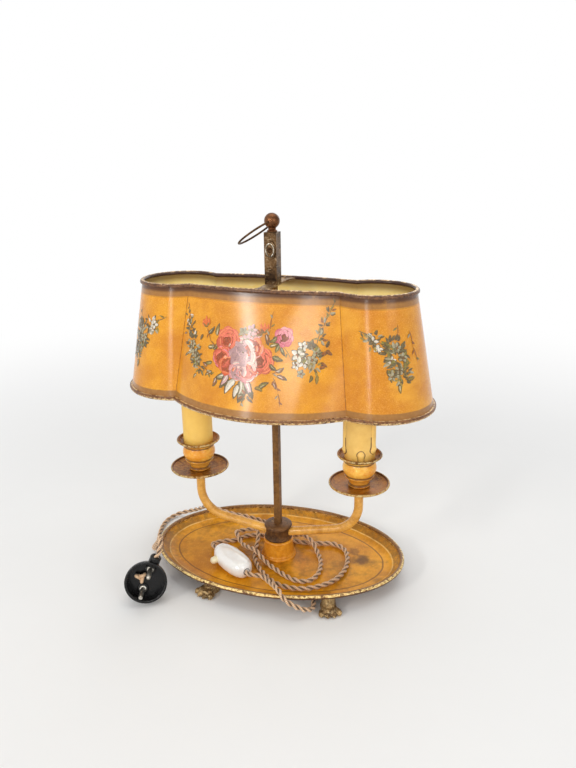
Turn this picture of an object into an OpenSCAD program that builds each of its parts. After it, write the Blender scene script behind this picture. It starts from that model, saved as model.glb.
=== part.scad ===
// Two-light bouillotte lamp: a dished oval tray on four paw feet, a square stem with two
// candle arms, and a four-lobed painted shade that slides on the stem.
// X runs along the tray, Y across it, Z up. The origin is on the table under the stem.

/* [Tray] */
// Length of the tray over its rim
tray_len = 244; // [220:1:280]
// Width of the tray over its rim
tray_wid = 160; // [146:1:172]
// Thickness of the tin
tray_sheet = 1.2; // [0.8:0.1:1.6]
// Height of the tray's underside over the table
tray_lift = 9.6; // [8:0.2:14]
// Width of the rising border between floor and edge
tray_border = 20; // [16:1:24]
// Height from the floor's underside to the tin's edge
tray_rise = 7; // [5:0.5:10]
// Thickness of the bead along the edge
tray_bead = 4.4; // [3.6:0.2:5]

/* [Feet] */
// Distance of each foot in from the tray's end
foot_end_in = 66; // [58:1:74]
// Distance of each foot in from the tray's side
foot_side_in = 18; // [16:1:26]
// Set of all four feet off the middle, towards the right
foot_shift = 7; // [0:0.5:9]
// Width of a paw over its toes
foot_wid = 18; // [14:0.5:20]
// Length of a paw from heel to toe
foot_len = 20; // [16:0.5:24]
// Turn of each paw outwards
foot_turn = 22; // [0:1:40]

/* [Hub] */
// Diameter of the painted hub
hub_dia = 31; // [28:0.5:36]
// Height of the painted hub
hub_h = 18.4; // [15:0.2:22]
// Wall of the hub
hub_wall = 2.5; // [2:0.1:4]
// Diameter of the collar that takes the arms
collar_dia = 27; // [24:0.5:30]
// Height of the collar
collar_h = 16; // [14:0.5:20]

/* [Stem] */
// Width of the square stem
stem_w = 6; // [5:0.1:7]
// Height of the stem's top over the table
stem_top = 321.5; // [300:0.5:360]
// Turn of the stem and shade against the tray, in degrees
shade_turn = -5; // [-8:0.5:8]
// Diameter of the ball finial
ball_dia = 13.2; // [11:0.2:15]
// Height of the neck under the ball
neck_h = 2.6; // [2:0.1:5]
// Thread diameter of the stem's foot
stem_thread = 5; // [4:0.5:5]
// Width of the stem nut over its flats
nut_w = 9; // [8:0.5:11]
// Height of the stem nut
nut_h = 4; // [3:0.5:5]

/* [Carrying ring] */
// Diameter of the ring at the middle of its wire
ring_dia = 35; // [30:0.5:40]
// Thickness of the ring's wire
ring_wire = 1.8; // [1.4:0.1:2.4]
// Hole through the ball
ring_hole = 2.6; // [2.2:0.1:3.4]
// Lean of the ring from straight down
ring_lean = 56; // [30:1:90]

/* [Sleeve] */
// Width of the square sleeve
sleeve_w = 11; // [10:0.5:13]
// Height of the sleeve
sleeve_h = 43.5; // [36:0.5:50]
// Running gap between stem and sleeve on each side
sleeve_gap = 0.15; // [0.1:0.05:0.25]
// Space for the catch spring in front of the stem
spring_space = 1.4; // [1.2:0.1:1.6]
// Height of the catch over the sleeve's foot
catch_z = 29; // [22:0.5:34]
// Width of the catch's oval plate
catch_wid = 9; // [7:0.5:10]
// Height of the catch's oval plate
catch_h = 15; // [12:0.5:18]
// Thickness of the catch's oval plate
catch_t = 1.2; // [0.8:0.1:1.8]
// Diameter of the catch button
button_dia = 4; // [3:0.2:5]
// Travel of the catch button
button_travel = 0.4; // [0.2:0.1:0.5]

/* [Shade] */
// Height of the shade between its edges
shade_h = 95; // [80:1:100]
// Thickness of the shade's tin
shade_sheet = 0.8; // [0.6:0.1:1.2]
// Half length of the shade at the top
top_half_len = 123.5; // [116:0.5:130]
// Half width of the shade at the top
top_half_wid = 34; // [32:0.5:38]
// Distance of the top creases from the middle along the shade
top_crease_x = 66.5; // [62:0.5:70]
// Distance of the top creases from the middle across the shade
top_crease_y = 27; // [25:0.5:29]
// Half length of the shade at the bottom
low_half_len = 141; // [132:0.5:150]
// Half width of the shade at the bottom
low_half_wid = 72.5; // [68:0.5:80]
// Distance of the bottom creases from the middle along the shade
low_crease_x = 78; // [73:0.5:82]
// Distance of the bottom creases from the middle across the shade
low_crease_y = 43.5; // [40:0.5:46]
// Thickness of the bead round the top edge of the shade
top_bead = 4.4; // [3.6:0.2:5]
// Thickness of the bead round the bottom edge of the shade
low_bead = 5.8; // [4.4:0.2:6.4]
// Width of the bar across the top
bar_w = 10; // [8:0.5:12]
// Width of the strap's spread ends
bar_end_w = 18; // [14:0.5:22]
// Thickness of the bar across the top
bar_t = 1.6; // [1.2:0.1:2]
// Travel of the shade down the stem
shade_travel = 125; // [60:5:125]

/* [Arms and lights] */
// Distance of each light from the stem
light_x = 78; // [74:0.5:84]
// Outer diameter of the arms
arm_dia = 8.6; // [7.5:0.1:9.4]
// Bore of the arms
arm_bore = 6; // [5:0.1:6.5]
// Radius of the arms' bend
arm_bend = 28; // [22:1:32]
// Rise of each arm as it leaves the collar, in degrees
arm_rise = 11; // [4:0.5:16]
// Height of the lower pan's underside over the arms' middle line
pan_rise = 56; // [50:0.5:66]
// Diameter of the lower pan
pan_dia = 56; // [50:0.5:60]
// Diameter of the upper pan
bobeche_dia = 41; // [37:0.5:46]
// Thickness of the pans
pan_t = 1.2; // [0.8:0.1:1.6]
// Depth of the pans
pan_depth = 4.5; // [3:0.5:6]
// Height of the cup
cup_h = 27; // [24:0.5:32]
// Largest diameter of the cup
cup_dia = 31; // [28:0.5:34]
// Wall of the cup
cup_wall = 1.6; // [1.2:0.1:2.2]
// Outer diameter of the candle tube
candle_dia = 28; // [26.5:0.1:30]
// Wall of the candle tube
candle_wall = 1.4; // [1:0.1:1.8]
// Height of the candle tube
candle_h = 62; // [56:1:75]
// Diameter of the threaded nipple
nipple_dia = 10; // [9:0.1:10.5]
// Bore of the nipple
nipple_bore = 7; // [6:0.1:7.5]
// Outer diameter of the lamp holder
holder_dia = 24; // [22:0.1:24.6]
// Bore of the lamp holder
holder_bore = 14.5; // [14:0.1:16]
// Height of the lamp holder
holder_h = 34; // [28:0.5:40]

/* [Cord and plug] */
// Thickness of the textile cord
cord_dia = 5.2; // [4.4:0.1:6]
// Length of the switch
switch_len = 50; // [46:0.5:56]
// Width of the switch
switch_wid = 25; // [22:0.5:28]
// Height of the switch
switch_h = 17; // [15:0.5:20]
// Diameter of the switch's push bar
push_dia = 7; // [5:0.5:8]
// Travel of the switch's push bar
push_travel = 5; // [3:0.5:6]
// Diameter of the plug
plug_dia = 38; // [35:0.5:42]
// Depth of the plug
plug_depth = 18; // [15:0.5:22]
// Distance between the plug's pins
pin_pitch = 19; // [18:0.5:20]
// Diameter of the plug's pins
pin_dia = 4; // [4:0.1:4.8]

/* [View] */
// Part to show

/* [Hidden] */
$fn = 64;
seat = 0.05;
eps = 0.01;
play = 0.3;
sleeve_top_gap = 0.4;
floor_top = tray_lift + tray_sheet;
foot_x = tray_len / 2 - foot_end_in;
foot_y = tray_wid / 2 - foot_side_in;

// ---- oval ring sweep ---------------------------------------------------------------------
oval_n = 84;
// A point on the tray's outline at angle t, moved in by d
function oval_pt(t, d) =
    let (n = [tray_wid * cos(t), tray_len * sin(t)], u = n / norm(n))
    [tray_len / 2 * cos(t) - d * u[0], tray_wid / 2 * sin(t) - d * u[1]];

// Carries a profile of [distance in from the edge, height] round the oval. A closed profile
// gives a ring, an open one gives a dish with flat faces over its first and last points.
module oval_sweep(prof, closed) {
    n = oval_n;
    m = len(prof);
    pts = [
        for (p = prof)
            for (i = [0 : n - 1])
                let (q = oval_pt(i * 360 / n, p[0]))
                [q[0], q[1], p[1]]
    ];
    sides = [
        for (k = [0 : closed ? m - 1 : m - 2])
            for (i = [0 : n - 1])
                let (j = (i + 1) % n, a = k * n, b = ((k + 1) % m) * n)
                each [[a + i, b + i, b + j], [a + i, b + j, a + j]]
    ];
    caps = closed ? [] : [
        [for (i = [0 : n - 1]) i],
        [for (i = [n - 1 : -1 : 0]) (m - 1) * n + i]
    ];
    polyhedron(pts, concat(sides, caps), convexity = 8);
}

// ---- tray --------------------------------------------------------------------------------
wall_in = tray_bead / 2 + 0.6;
wall_run = tray_border - wall_in;
wall_r = (wall_run * wall_run + tray_rise * tray_rise) / (2 * tray_rise);
wall_end = asin(wall_run / wall_r);
lead_hole = [12, -8];

module tray() {
    m = 6;
    outside = [
        for (i = [0 : m])
            let (a = wall_end * i / m)
            [tray_border - wall_r * sin(a), tray_lift + wall_r * (1 - cos(a))]
    ];
    r = wall_r - tray_sheet;
    inside = [
        for (i = [m : -1 : 0])
            let (a = wall_end * i / m)
            [tray_border - r * sin(a), tray_lift + wall_r - r * cos(a)]
    ];
    top = tray_lift + tray_rise;
    color([0.78, 0.52, 0.16])
        difference() {
            oval_sweep(concat([for (p = outside) [p[0], min(p[1], top)]],
                [for (p = inside) [p[0], min(p[1], top)]]), false);
            translate([0, 0, tray_lift - 1])
                cylinder(d = stem_thread + 2 * seat, h = tray_sheet + 2);
            translate([lead_hole[0], lead_hole[1], tray_lift - 1])
                cylinder(d = cord_dia + 2.4, h = tray_sheet + 2);
        }
}

module tray_rim() {
    r = tray_bead / 2;
    k = 12;
    z = tray_lift + tray_rise + r * sin(30);
    color([0.45, 0.3, 0.15])
        oval_sweep([
            for (i = [0 : k])
                let (a = -30 + 240 * i / k)
                [r - r * cos(a), z + r * sin(a)]
        ], true);
}

// ---- paw feet ----------------------------------------------------------------------------
toe_r = foot_wid / 7;
leg_in = foot_wid * 0.1;

// Outward direction of the tray's edge beside a point under it, and how far in it lies
function edge_dir(p) =
    let (q = [p[0] / (tray_len * tray_len), p[1] / (tray_wid * tray_wid)])
    q / norm(q);
function edge_in(p) =
    let (k = norm([2 * p[0] / tray_len, 2 * p[1] / tray_wid]))
    (p / k - p) * edge_dir(p);

module foot(sx, sy) {
    turn = sy > 0 ? -sx * foot_turn : 180 + sx * foot_turn;
    at = [sx * foot_x + foot_shift, sy * foot_y];
    // where the leg meets the tray: how far up its rising border, and the slope there
    leg_at = at + leg_in * [sin(turn), -cos(turn)];
    up = max(0, tray_border - edge_in(leg_at));
    slope = asin(up / wall_r);
    out = edge_dir(leg_at);
    skew = atan2(-out[0], out[1]) - turn;
    leg_top = tray_lift + wall_r * (1 - cos(slope));
    color([0.55, 0.4, 0.2])
        translate([at[0], at[1], 0])
            rotate([0, 0, turn]) {
                // leg cut to the tray's slope, and a plate soldered under its floor
                difference() {
                    translate([0, -leg_in, 3])
                        cylinder(d1 = foot_wid * 0.78, d2 = foot_wid * 0.6, h = leg_top + 2, $fn = 32);
                    translate([0, -leg_in, leg_top - seat])
                        rotate([0, 0, skew])
                            rotate([slope, 0, 0])
                                translate([-foot_wid, -foot_wid, 0])
                                    cube([2 * foot_wid, 2 * foot_wid, tray_lift]);
                }
                translate([0, -foot_wid * 0.62, tray_lift - 1.4])
                    cylinder(d = foot_wid * 0.72, h = 1.4, $fn = 32);
                // heel and instep
                intersection() {
                    union() {
                        translate([0, -foot_wid * 0.22, 2.6])
                            sphere(r = foot_wid * 0.4, $fn = 32);
                        translate([0, foot_len * 0.16, 2.8])
                            sphere(r = foot_wid * 0.42, $fn = 32);
                    }
                    translate([-20, -20, 0])
                        cube([40, 60, tray_lift - 2.4]);
                }
                // four toes with a claw each
                for (i = [-1.5, -0.5, 0.5, 1.5])
                    rotate([0, 0, -i * 7])
                        translate([i * toe_r * 1.62, 0, 0]) {
                            translate([0, foot_len * 0.24, toe_r + 0.3])
                                rotate([-90, 0, 0])
                                    cylinder(r = toe_r, h = foot_len * 0.28 - abs(i), $fn = 24);
                            translate([0, foot_len * 0.52 - abs(i), toe_r + 0.3])
                                rotate([-90, 0, 0])
                                    sphere(r = toe_r * 1.1, $fn = 24);
                            translate([0, foot_len * 0.56 - abs(i), toe_r * 0.9])
                                rotate([-100, 0, 0])
                                    cylinder(r1 = toe_r * 0.55, r2 = 0.25, h = foot_len * 0.16, $fn = 16);
                        }
            }
}

// ---- hub, collar, stem -------------------------------------------------------------------
collar_z = floor_top + hub_h;
arm_z = collar_z + collar_h / 2;
wire_x = collar_dia / 2 - 5;

module hub() {
    color([0.8, 0.5, 0.15])
        difference() {
            translate([0, 0, floor_top])
                rotate_extrude($fn = 96)
                    polygon([
                        [0, 0],
                        [hub_dia / 2 + 1.5, 0],
                        [hub_dia / 2 + 1.5, 1.4],
                        [hub_dia / 2, 3],
                        [hub_dia / 2 - 1, hub_h * 0.5],
                        [hub_dia / 2 - 1.4, hub_h - 2],
                        [hub_dia / 2 - 2.4, hub_h],
                        [0, hub_h]
                    ]);
            translate([0, 0, floor_top - 1])
                cylinder(d = hub_dia - 2.8 - 2 * hub_wall, h = hub_h - hub_wall + 1);
            turned()
                translate([-stem_w / 2 - seat, -stem_w / 2 - seat, floor_top])
                    cube([stem_w + 2 * seat, stem_w + 2 * seat, hub_h + 1]);
            for (s = [-1, 1])
                translate([s * wire_x, 0, floor_top])
                    cylinder(d = 3.6, h = hub_h + 1, $fn = 24);
        }
}

module collar() {
    color([0.3, 0.18, 0.08])
        difference() {
            translate([0, 0, collar_z])
                rotate_extrude($fn = 96)
                    polygon([
                        [0, 0],
                        [collar_dia / 2 - 1, 0],
                        [collar_dia / 2, 1],
                        [collar_dia / 2, 2.2],
                        [collar_dia / 2 - 1.2, 3.2],
                        [collar_dia / 2 - 1.2, collar_h - 3.6],
                        [collar_dia / 2, collar_h - 2.6],
                        [collar_dia / 2 - 0.4, collar_h - 1],
                        [collar_dia / 2 - 3, collar_h],
                        [0, collar_h]
                    ]);
            turned()
                translate([-stem_w / 2 - seat, -stem_w / 2 - seat, collar_z - 1])
                    cube([stem_w + 2 * seat, stem_w + 2 * seat, collar_h + 2]);
            for (s = [0, 1])
                mirror([s, 0, 0]) {
                    arm_run(arm_dia + 2 * seat, arm_in - 0.4);
                    translate([wire_x, 0, collar_z - 1])
                        cylinder(d = 3.6, h = collar_h / 2 + 1, $fn = 24);
                }
        }
}

// What sits on the square stem turns with it
module turned() {
    rotate([0, 0, shade_turn])
        children();
}

module stem() {
    color([0.7, 0.55, 0.28])
        turned() {
            translate([-stem_w / 2, -stem_w / 2, floor_top])
                cube([stem_w, stem_w, stem_top - floor_top]);
            translate([0, 0, tray_lift - nut_h - 2])
                cylinder(d = stem_thread, h = nut_h + 2 + tray_sheet);
        }
}

module stem_washer() {
    color([0.6, 0.5, 0.3])
        translate([0, 0, tray_lift - 1.2])
            difference() {
                cylinder(d = nut_w + 4, h = 1.2);
                translate([0, 0, -1])
                    cylinder(d = stem_thread + 2 * seat, h = 4);
            }
}

module stem_nut() {
    color([0.6, 0.5, 0.3])
        translate([0, 0, tray_lift - 1.2 - nut_h])
            difference() {
                rotate([0, 0, 30])
                    cylinder(d = nut_w / cos(30), h = nut_h, $fn = 6);
                translate([0, 0, -1])
                    cylinder(d = stem_thread + 2 * seat, h = nut_h + 2);
            }
}

// ---- finial and carrying ring ------------------------------------------------------------
ball_z = stem_top + neck_h + ball_dia * 0.46;

module finial() {
    color([0.75, 0.6, 0.32])
        turned()
            difference() {
                union() {
                    translate([0, 0, ball_z])
                        sphere(d = ball_dia, $fn = 64);
                    translate([0, 0, stem_top])
                        cylinder(d = stem_w * 1.414 + 0.6, h = 1.2);
                    translate([0, 0, stem_top])
                        cylinder(d = 6.4, h = ball_z - stem_top);
                }
                translate([0, -ball_dia, ball_z])
                    rotate([-90, 0, 0])
                        cylinder(d = ring_hole, h = 2 * ball_dia, $fn = 32);
                // the hole widens outwards to clear the curve of the ring
                for (s = [-90, 90])
                    translate([0, 0, ball_z])
                        rotate([s, 0, 0])
                            translate([0, 0, ball_dia * 0.15])
                                cylinder(d1 = ring_hole, d2 = ring_hole + ball_dia * 0.22,
                                    h = ball_dia * 0.42, $fn = 32);
            }
}

module carry_ring() {
    color([0.7, 0.56, 0.3])
        turned()
            translate([0, 0, ball_z])
                rotate([0, ring_lean, 0])
                    translate([0, 0, -ring_dia / 2])
                        rotate([0, 90, 0])
                            rotate_extrude($fn = 96)
                                translate([ring_dia / 2, 0])
                                    circle(d = ring_wire, $fn = 16);
}

// ---- arms and lights ---------------------------------------------------------------------
pan_z = arm_z + pan_rise;
cup_z = pan_z + pan_t;
bob_z = cup_z + cup_h;
candle_z = bob_z + pan_t;
arm_in = stem_w / 2 + 2.4;
bob_flat = candle_dia / 2 + 0.9;
wire_d = arm_bore - 2 * play;

// Where the straight run of an arm ends and its bend begins, and the bend's centre
run_x = light_x - arm_bend * (1 - sin(arm_rise));
run_z = arm_z + (run_x - collar_dia / 2) * tan(arm_rise);
bend_z = run_z + arm_bend * cos(arm_rise);

// The straight run of an arm, from x = from out to the bend
module arm_run(d, from) {
    translate([run_x, 0, run_z])
        rotate([0, -90 - arm_rise, 0])
            translate([0, 0, joint])
                cylinder(d = d, h = (run_x - from) / cos(arm_rise) - joint, $fn = 48);
}

// The arm's line from x = from to the height to; a small bead closes each soldered joint
joint = 0.2;
module arm_path(d, from, to) {
    cut = joint / arm_bend * 57.3;
    arm_run(d, from);
    translate([light_x - arm_bend, 0, bend_z])
        rotate([90, 0, 0])
            rotate([0, 0, arm_rise - 90 + cut])
                rotate_extrude(angle = 90 - arm_rise - 2 * cut, $fn = 96)
                    translate([arm_bend, 0])
                        circle(d = d, $fn = 48);
    translate([light_x, 0, bend_z + joint])
        cylinder(d = d, h = to - bend_z - joint, $fn = 48);
    for (p = [[run_x, run_z], [light_x, bend_z]])
        translate([p[0], 0, p[1]])
            sphere(d = d + 0.12, $fn = 48);
}

module arm(s) {
    color([0.6, 0.42, 0.2])
        mirror([s < 0 ? 1 : 0, 0, 0])
            difference() {
                union() {
                    arm_path(arm_dia, arm_in, pan_z);
                    // turned ring under the lower pan
                    translate([light_x, 0, pan_z - 3])
                        cylinder(d = arm_dia + 5, h = 3);
                }
                arm_path(arm_bore, arm_in - 1, pan_z + 1);
                translate([wire_x, 0, arm_z - arm_dia])
                    cylinder(d = 3.2, h = arm_dia, $fn = 24);
            }
}

// A dished pan with a beaded edge: d across, flat out to rf
module pan(s, z, d, rf) {
    r = d / 2;
    w = r - rf;
    color([0.35, 0.24, 0.12])
        translate([s * light_x, 0, z])
            difference() {
                rotate_extrude($fn = 96)
                    union() {
                        polygon([
                            [0, 0],
                            [rf, 0],
                            [rf + w * 0.6, pan_depth * 0.34],
                            [r - 0.9, pan_depth - 0.6],
                            [r - 0.9 - pan_t, pan_depth - 0.6],
                            [rf + w * 0.6 - pan_t * 0.8, pan_depth * 0.34 + pan_t * 0.7],
                            [rf - 0.3, pan_t],
                            [0, pan_t]
                        ]);
                        translate([r - 1.1, pan_depth - 0.4])
                            circle(r = 1.1, $fn = 24);
                    }
                translate([0, 0, -1])
                    cylinder(d = nipple_dia + 2 * seat, h = pan_depth + 3);
            }
}

function cup_profile(t) = [
    [cup_dia * 0.27 - t, 0],
    [cup_dia * 0.33 - t, 1.5],
    [cup_dia * 0.30 - t, 3.5],
    [cup_dia * 0.34 - t, cup_h * 0.26],
    [cup_dia * 0.40 - t, cup_h * 0.36],
    [cup_dia * 0.43 - t, cup_h * 0.40],
    [cup_dia * 0.42 - t, cup_h * 0.45],
    [cup_dia * 0.46 - t, cup_h * 0.52],
    [cup_dia * 0.5 - t, cup_h * 0.64],
    [cup_dia * 0.49 - t, cup_h * 0.78],
    [cup_dia * 0.45 - t, cup_h * 0.92],
    [cup_dia * 0.46 - t, cup_h]
];

module cup(s) {
    pts = cup_profile(0);
    color([0.85, 0.5, 0.12])
        translate([s * light_x, 0, cup_z])
            difference() {
                rotate_extrude($fn = 96)
                    polygon(concat([[0, 0]], pts, [[0, cup_h]]));
                translate([0, 0, -1])
                    cylinder(d = nipple_dia + 2 * seat, h = cup_h + 2);
                translate([0, 0, cup_h * 0.45])
                    cylinder(d = cup_dia * 0.84 - 2 * cup_wall, h = cup_h);
            }
}

module candle(s) {
    r = candle_dia / 2;
    color([0.85, 0.83, 0.74])
        translate([s * light_x, 0, candle_z])
            rotate([0, 0, 60])
                difference() {
                    union() {
                        cylinder(r = r, h = candle_h, $fn = 96);
                        // run wax on the right candle only
                        if (s > 0)
                            for (a = [[134, 0.66, 2.7], [222, 0.84, 1.9], [304, 0.58, 2.5]])
                                rotate([0, 0, a[0]])
                                    translate([r - 0.5, 0, candle_h * (1 - a[1])]) {
                                        sphere(r = a[2], $fn = 24);
                                        cylinder(r = a[2] * 0.8, h = candle_h * a[1], $fn = 24);
                                    }
                    }
                    translate([0, 0, -1])
                        cylinder(r = r - candle_wall, h = candle_h + 4, $fn = 96);
                    translate([-2 * r, -2 * r, candle_h])
                        cube([4 * r, 4 * r, 10]);
                }
}

holder_z = candle_z + candle_h - holder_h - 1;
// Height of the bore's seat in the holder; the contact stands in the narrower chamber below
holder_seat = 9;

module nipples() {
    color([0.7, 0.6, 0.35])
        for (s = [-1, 1])
            translate([s * light_x, 0, pan_z + play / 10])
                difference() {
                    cylinder(d = nipple_dia, h = holder_z - pan_z - play / 10, $fn = 48);
                    translate([0, 0, -1])
                        cylinder(d = nipple_bore, h = holder_z - pan_z + 2, $fn = 48);
                }
}

module holder(s) {
    color([0.8, 0.78, 0.7])
        translate([s * light_x, 0, holder_z])
            difference() {
                cylinder(d = holder_dia, h = holder_h, $fn = 64);
                translate([0, 0, holder_seat])
                    cylinder(d = holder_bore, h = holder_h, $fn = 64);
                translate([0, 0, 6])
                    cylinder(d = holder_bore - 2.5, h = holder_h, $fn = 64);
                translate([0, 0, -1])
                    cylinder(d = nipple_bore, h = 4, $fn = 48);
                translate([0, 0, 4])
                    cylinder(d = 3, h = 4, $fn = 24);
            }
}

module contact(s) {
    color([0.85, 0.65, 0.3])
        translate([s * light_x, 0, holder_z + 6]) {
            cylinder(d = 6, h = 0.6, $fn = 32);
            translate([0, 0, 0.6])
                cylinder(d1 = 5, d2 = 3, h = 1.6, $fn = 32);
        }
}

module arm_wires() {
    color([0.25, 0.2, 0.15])
        for (s = [0, 1])
            mirror([s, 0, 0])
                arm_path(wire_d, wire_x + 1.6, holder_z + 2);
}

// ---- shade -------------------------------------------------------------------------------
top_lev = [top_crease_x, top_crease_y, top_half_len, top_half_wid];
low_lev = [low_crease_x, low_crease_y, low_half_len, low_half_wid];
bar_z = stem_top - sleeve_top_gap - sleeve_h - bar_t;
shade_z = bar_z - shade_h;

// Radius of a lobe from half its chord and its height
function lobe_r(c, h) = (c * c + h * h) / (2 * h);
function front_r(l) = lobe_r(l[0], l[3] - l[1]);
function side_r(l) = lobe_r(l[1], l[2] - l[0]);
function front_c(l) = l[3] - front_r(l);
function side_c(l) = l[2] - side_r(l);
// Where the front lobe and the side lobe meet when both are grown by d
function crease(l, d) =
    let (
        fr = front_r(l) + d,
        sr = side_r(l) + d,
        k = norm([side_c(l), front_c(l)]),
        a = (fr * fr - sr * sr + k * k) / (2 * k),
        h = sqrt(fr * fr - a * a),
        e = [side_c(l) / k, -front_c(l) / k]
    )
    [a * e[0] - h * e[1], front_c(l) + a * e[1] + h * e[0]];
function front_a(l, d) = atan2(crease(l, d)[0], crease(l, d)[1] - front_c(l));
function side_a(l, d) = atan2(crease(l, d)[1], crease(l, d)[0] - side_c(l));

nf = 16;
ns = 18;
// A ring of points round the shade at level l, grown by d
function quarter_pts(l, d) = [
    for (i = [0 : ns - 1])
        let (a = side_a(l, d) * i / ns, r = side_r(l) + d)
        [side_c(l) + r * cos(a), r * sin(a)],
    for (i = [0 : nf - 1])
        let (a = front_a(l, d) * (1 - i / nf), r = front_r(l) + d)
        [r * sin(a), front_c(l) + r * cos(a)]
];
function shade_ring(l, d, z) =
    let (q = quarter_pts(l, d), n = len(q))
    [
        for (p = q) [p[0], p[1], z],
        [0, l[3] + d, z],
        for (i = [n - 1 : -1 : 1]) [-q[i][0], q[i][1], z],
        [-l[2] - d, 0, z],
        for (i = [1 : n - 1]) [-q[i][0], -q[i][1], z],
        [0, -l[3] - d, z],
        for (i = [n - 1 : -1 : 1]) [q[i][0], -q[i][1], z]
    ];

module shade_wall() {
    a = shade_ring(low_lev, 0, shade_z);
    b = shade_ring(top_lev, 0, bar_z);
    c = shade_ring(top_lev, -shade_sheet, bar_z);
    d = shade_ring(low_lev, -shade_sheet, shade_z);
    n = len(a);
    f = [
        for (k = [0 : 3])
            for (i = [0 : n - 1])
                let (j = (i + 1) % n, p = k * n, q = ((k + 1) % 4) * n)
                each [[p + i, q + i, q + j], [p + i, q + j, p + j]]
    ];
    color([0.92, 0.62, 0.22])
        turned()
            polyhedron(concat(a, b, c, d), f, convexity = 6);
}

// A bead d thick round the shade's edge at level l
module shade_bead(l, z, up, d) {
    // the front bead runs on past the crease by the length of its soldered joint
    fa = front_a(l, 0) + 1.2 / front_r(l) * 57.3;
    sa = side_a(l, 0);
    for (s = [0, 180])
        rotate([0, 0, s]) {
            translate([0, front_c(l), z])
                rotate([0, 0, 90 - fa])
                    rotate_extrude(angle = 2 * fa, $fn = 180)
                        bead_2d(front_r(l), up, d);
            translate([side_c(l), 0, z])
                rotate([0, 0, -sa])
                    rotate_extrude(angle = 2 * sa, $fn = 96)
                        bead_2d(side_r(l), up, d);
        }
}

module bead_2d(r, up, d) {
    translate([r - shade_sheet / 2, 0])
        intersection() {
            translate([0, up * d * 0.25])
                circle(d = d, $fn = 24);
            translate([-d, up > 0 ? 0 : -d])
                square([2 * d, d]);
        }
}

module shade_top_rim() {
    color([0.5, 0.34, 0.16])
        turned()
            difference() {
                shade_bead(top_lev, bar_z, 1, top_bead);
                translate([-bar_end_w / 2 - seat, -top_half_wid - top_bead, bar_z - 1])
                    cube([bar_end_w + 2 * seat, 2 * top_half_wid + 2 * top_bead, top_bead + 2]);
            }
}

module shade_low_rim() {
    color([0.5, 0.34, 0.16])
        turned()
            shade_bead(low_lev, shade_z, -1, low_bead);
}

module cross_bar() {
    w = bar_w / 2;
    e = bar_end_w / 2;
    l = top_half_wid;
    color([0.6, 0.45, 0.22])
        turned()
            difference() {
                translate([0, 0, bar_z])
                    linear_extrude(bar_t)
                        polygon([
                            [-e, -l], [e, -l], [e, -l + 3], [w, -l + 14], [w, l - 14], [e, l - 3],
                            [e, l], [-e, l], [-e, l - 3], [-w, l - 14], [-w, -l + 14], [-e, -l + 3]
                        ]);
                translate([-stem_w / 2 - sleeve_gap, -stem_w / 2 - spring_space, bar_z - 1])
                    cube([stem_w + 2 * sleeve_gap, stem_w + spring_space + sleeve_gap, bar_t + 2]);
            }
}

module bar_rivets() {
    color([0.7, 0.55, 0.3])
        turned()
            for (s = [-1, 1])
                translate([0, s * (top_half_wid - 5), bar_z + bar_t])
                    intersection() {
                        translate([0, 0, -1])
                            sphere(r = 2.2, $fn = 24);
                        cylinder(r = 3, h = 3);
                    }
}

// ---- sleeve and catch --------------------------------------------------------------------
sleeve_z = bar_z + bar_t;
button_z = sleeve_z + catch_z;
sleeve_front = sleeve_w / 2;
bore_front = stem_w / 2 + spring_space;

module sleeve() {
    color([0.72, 0.58, 0.3])
        turned()
            difference() {
                translate([-sleeve_w / 2, -sleeve_w / 2, sleeve_z])
                    cube([sleeve_w, sleeve_w, sleeve_h]);
                translate([-stem_w / 2 - sleeve_gap, -bore_front, sleeve_z - 1])
                    cube([stem_w + 2 * sleeve_gap, bore_front + stem_w / 2 + sleeve_gap, sleeve_h + 2]);
                translate([0, -sleeve_w, button_z])
                    rotate([-90, 0, 0])
                        cylinder(d = button_dia + 2 * play, h = sleeve_w, $fn = 32);
            }
}

module catch_plate() {
    k = (catch_h - catch_wid) / 2;
    color([0.8, 0.66, 0.36])
        turned()
            difference() {
                translate([0, -sleeve_front, button_z])
                    rotate([90, 0, 0]) {
                        for (s = [-1, 1])
                            translate([0, s * k, 0])
                                cylinder(d = catch_wid, h = catch_t, $fn = 48);
                        translate([-catch_wid / 2, -k, 0])
                            cube([catch_wid, 2 * k, catch_t]);
                    }
                translate([0, -sleeve_w, button_z])
                    rotate([-90, 0, 0])
                        cylinder(d = button_dia + 2 * play, h = sleeve_w, $fn = 32);
            }
}

module catch_button() {
    color([0.35, 0.25, 0.12])
        turned()
            translate([0, -sleeve_front - catch_t - 0.2, button_z])
                rotate([-90, 0, 0])
                    cylinder(d = button_dia, h = sleeve_front + catch_t + 0.2 - bore_front + 0.2, $fn = 32);
}

module catch_spring() {
    color([0.6, 0.6, 0.55])
        turned()
            translate([-1.5, -stem_w / 2 - 0.7, button_z - 9])
                cube([3, 0.4, 18]);
}

// ---- cords -------------------------------------------------------------------------------
cord_r = cord_dia / 2;
lie = floor_top + cord_r + 0.2;
over = lie + cord_dia + 0.4;
switch_at = [-36, -35];
switch_dir = 142;
switch_z = floor_top + switch_h / 2 + 0.2;
su = [cos(switch_dir), sin(switch_dir)];
// Depth of the socket that takes the cord at each end of the switch
switch_in = 2;
switch_end = switch_len / 2 - switch_in;
switch_a = [switch_at[0] + su[0] * switch_end, switch_at[1] + su[1] * switch_end];
switch_b = [switch_at[0] - su[0] * switch_end, switch_at[1] - su[1] * switch_end];
plug_at = [-97, -93];
plug_dir = -68;
plug_roll = 24;
boss_h = 7;
plug_r = plug_dia / 2;
plug_side = [-sin(plug_dir), cos(plug_dir)];
boss_dir = [plug_side[0] * sin(plug_roll), plug_side[1] * sin(plug_roll), cos(plug_roll)];
plug_mid = [
    plug_at[0] - cos(plug_dir) * plug_depth * 0.5,
    plug_at[1] - sin(plug_dir) * plug_depth * 0.5,
    plug_r
];
boss_end = plug_mid + boss_dir * (plug_r + boss_h);

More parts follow.
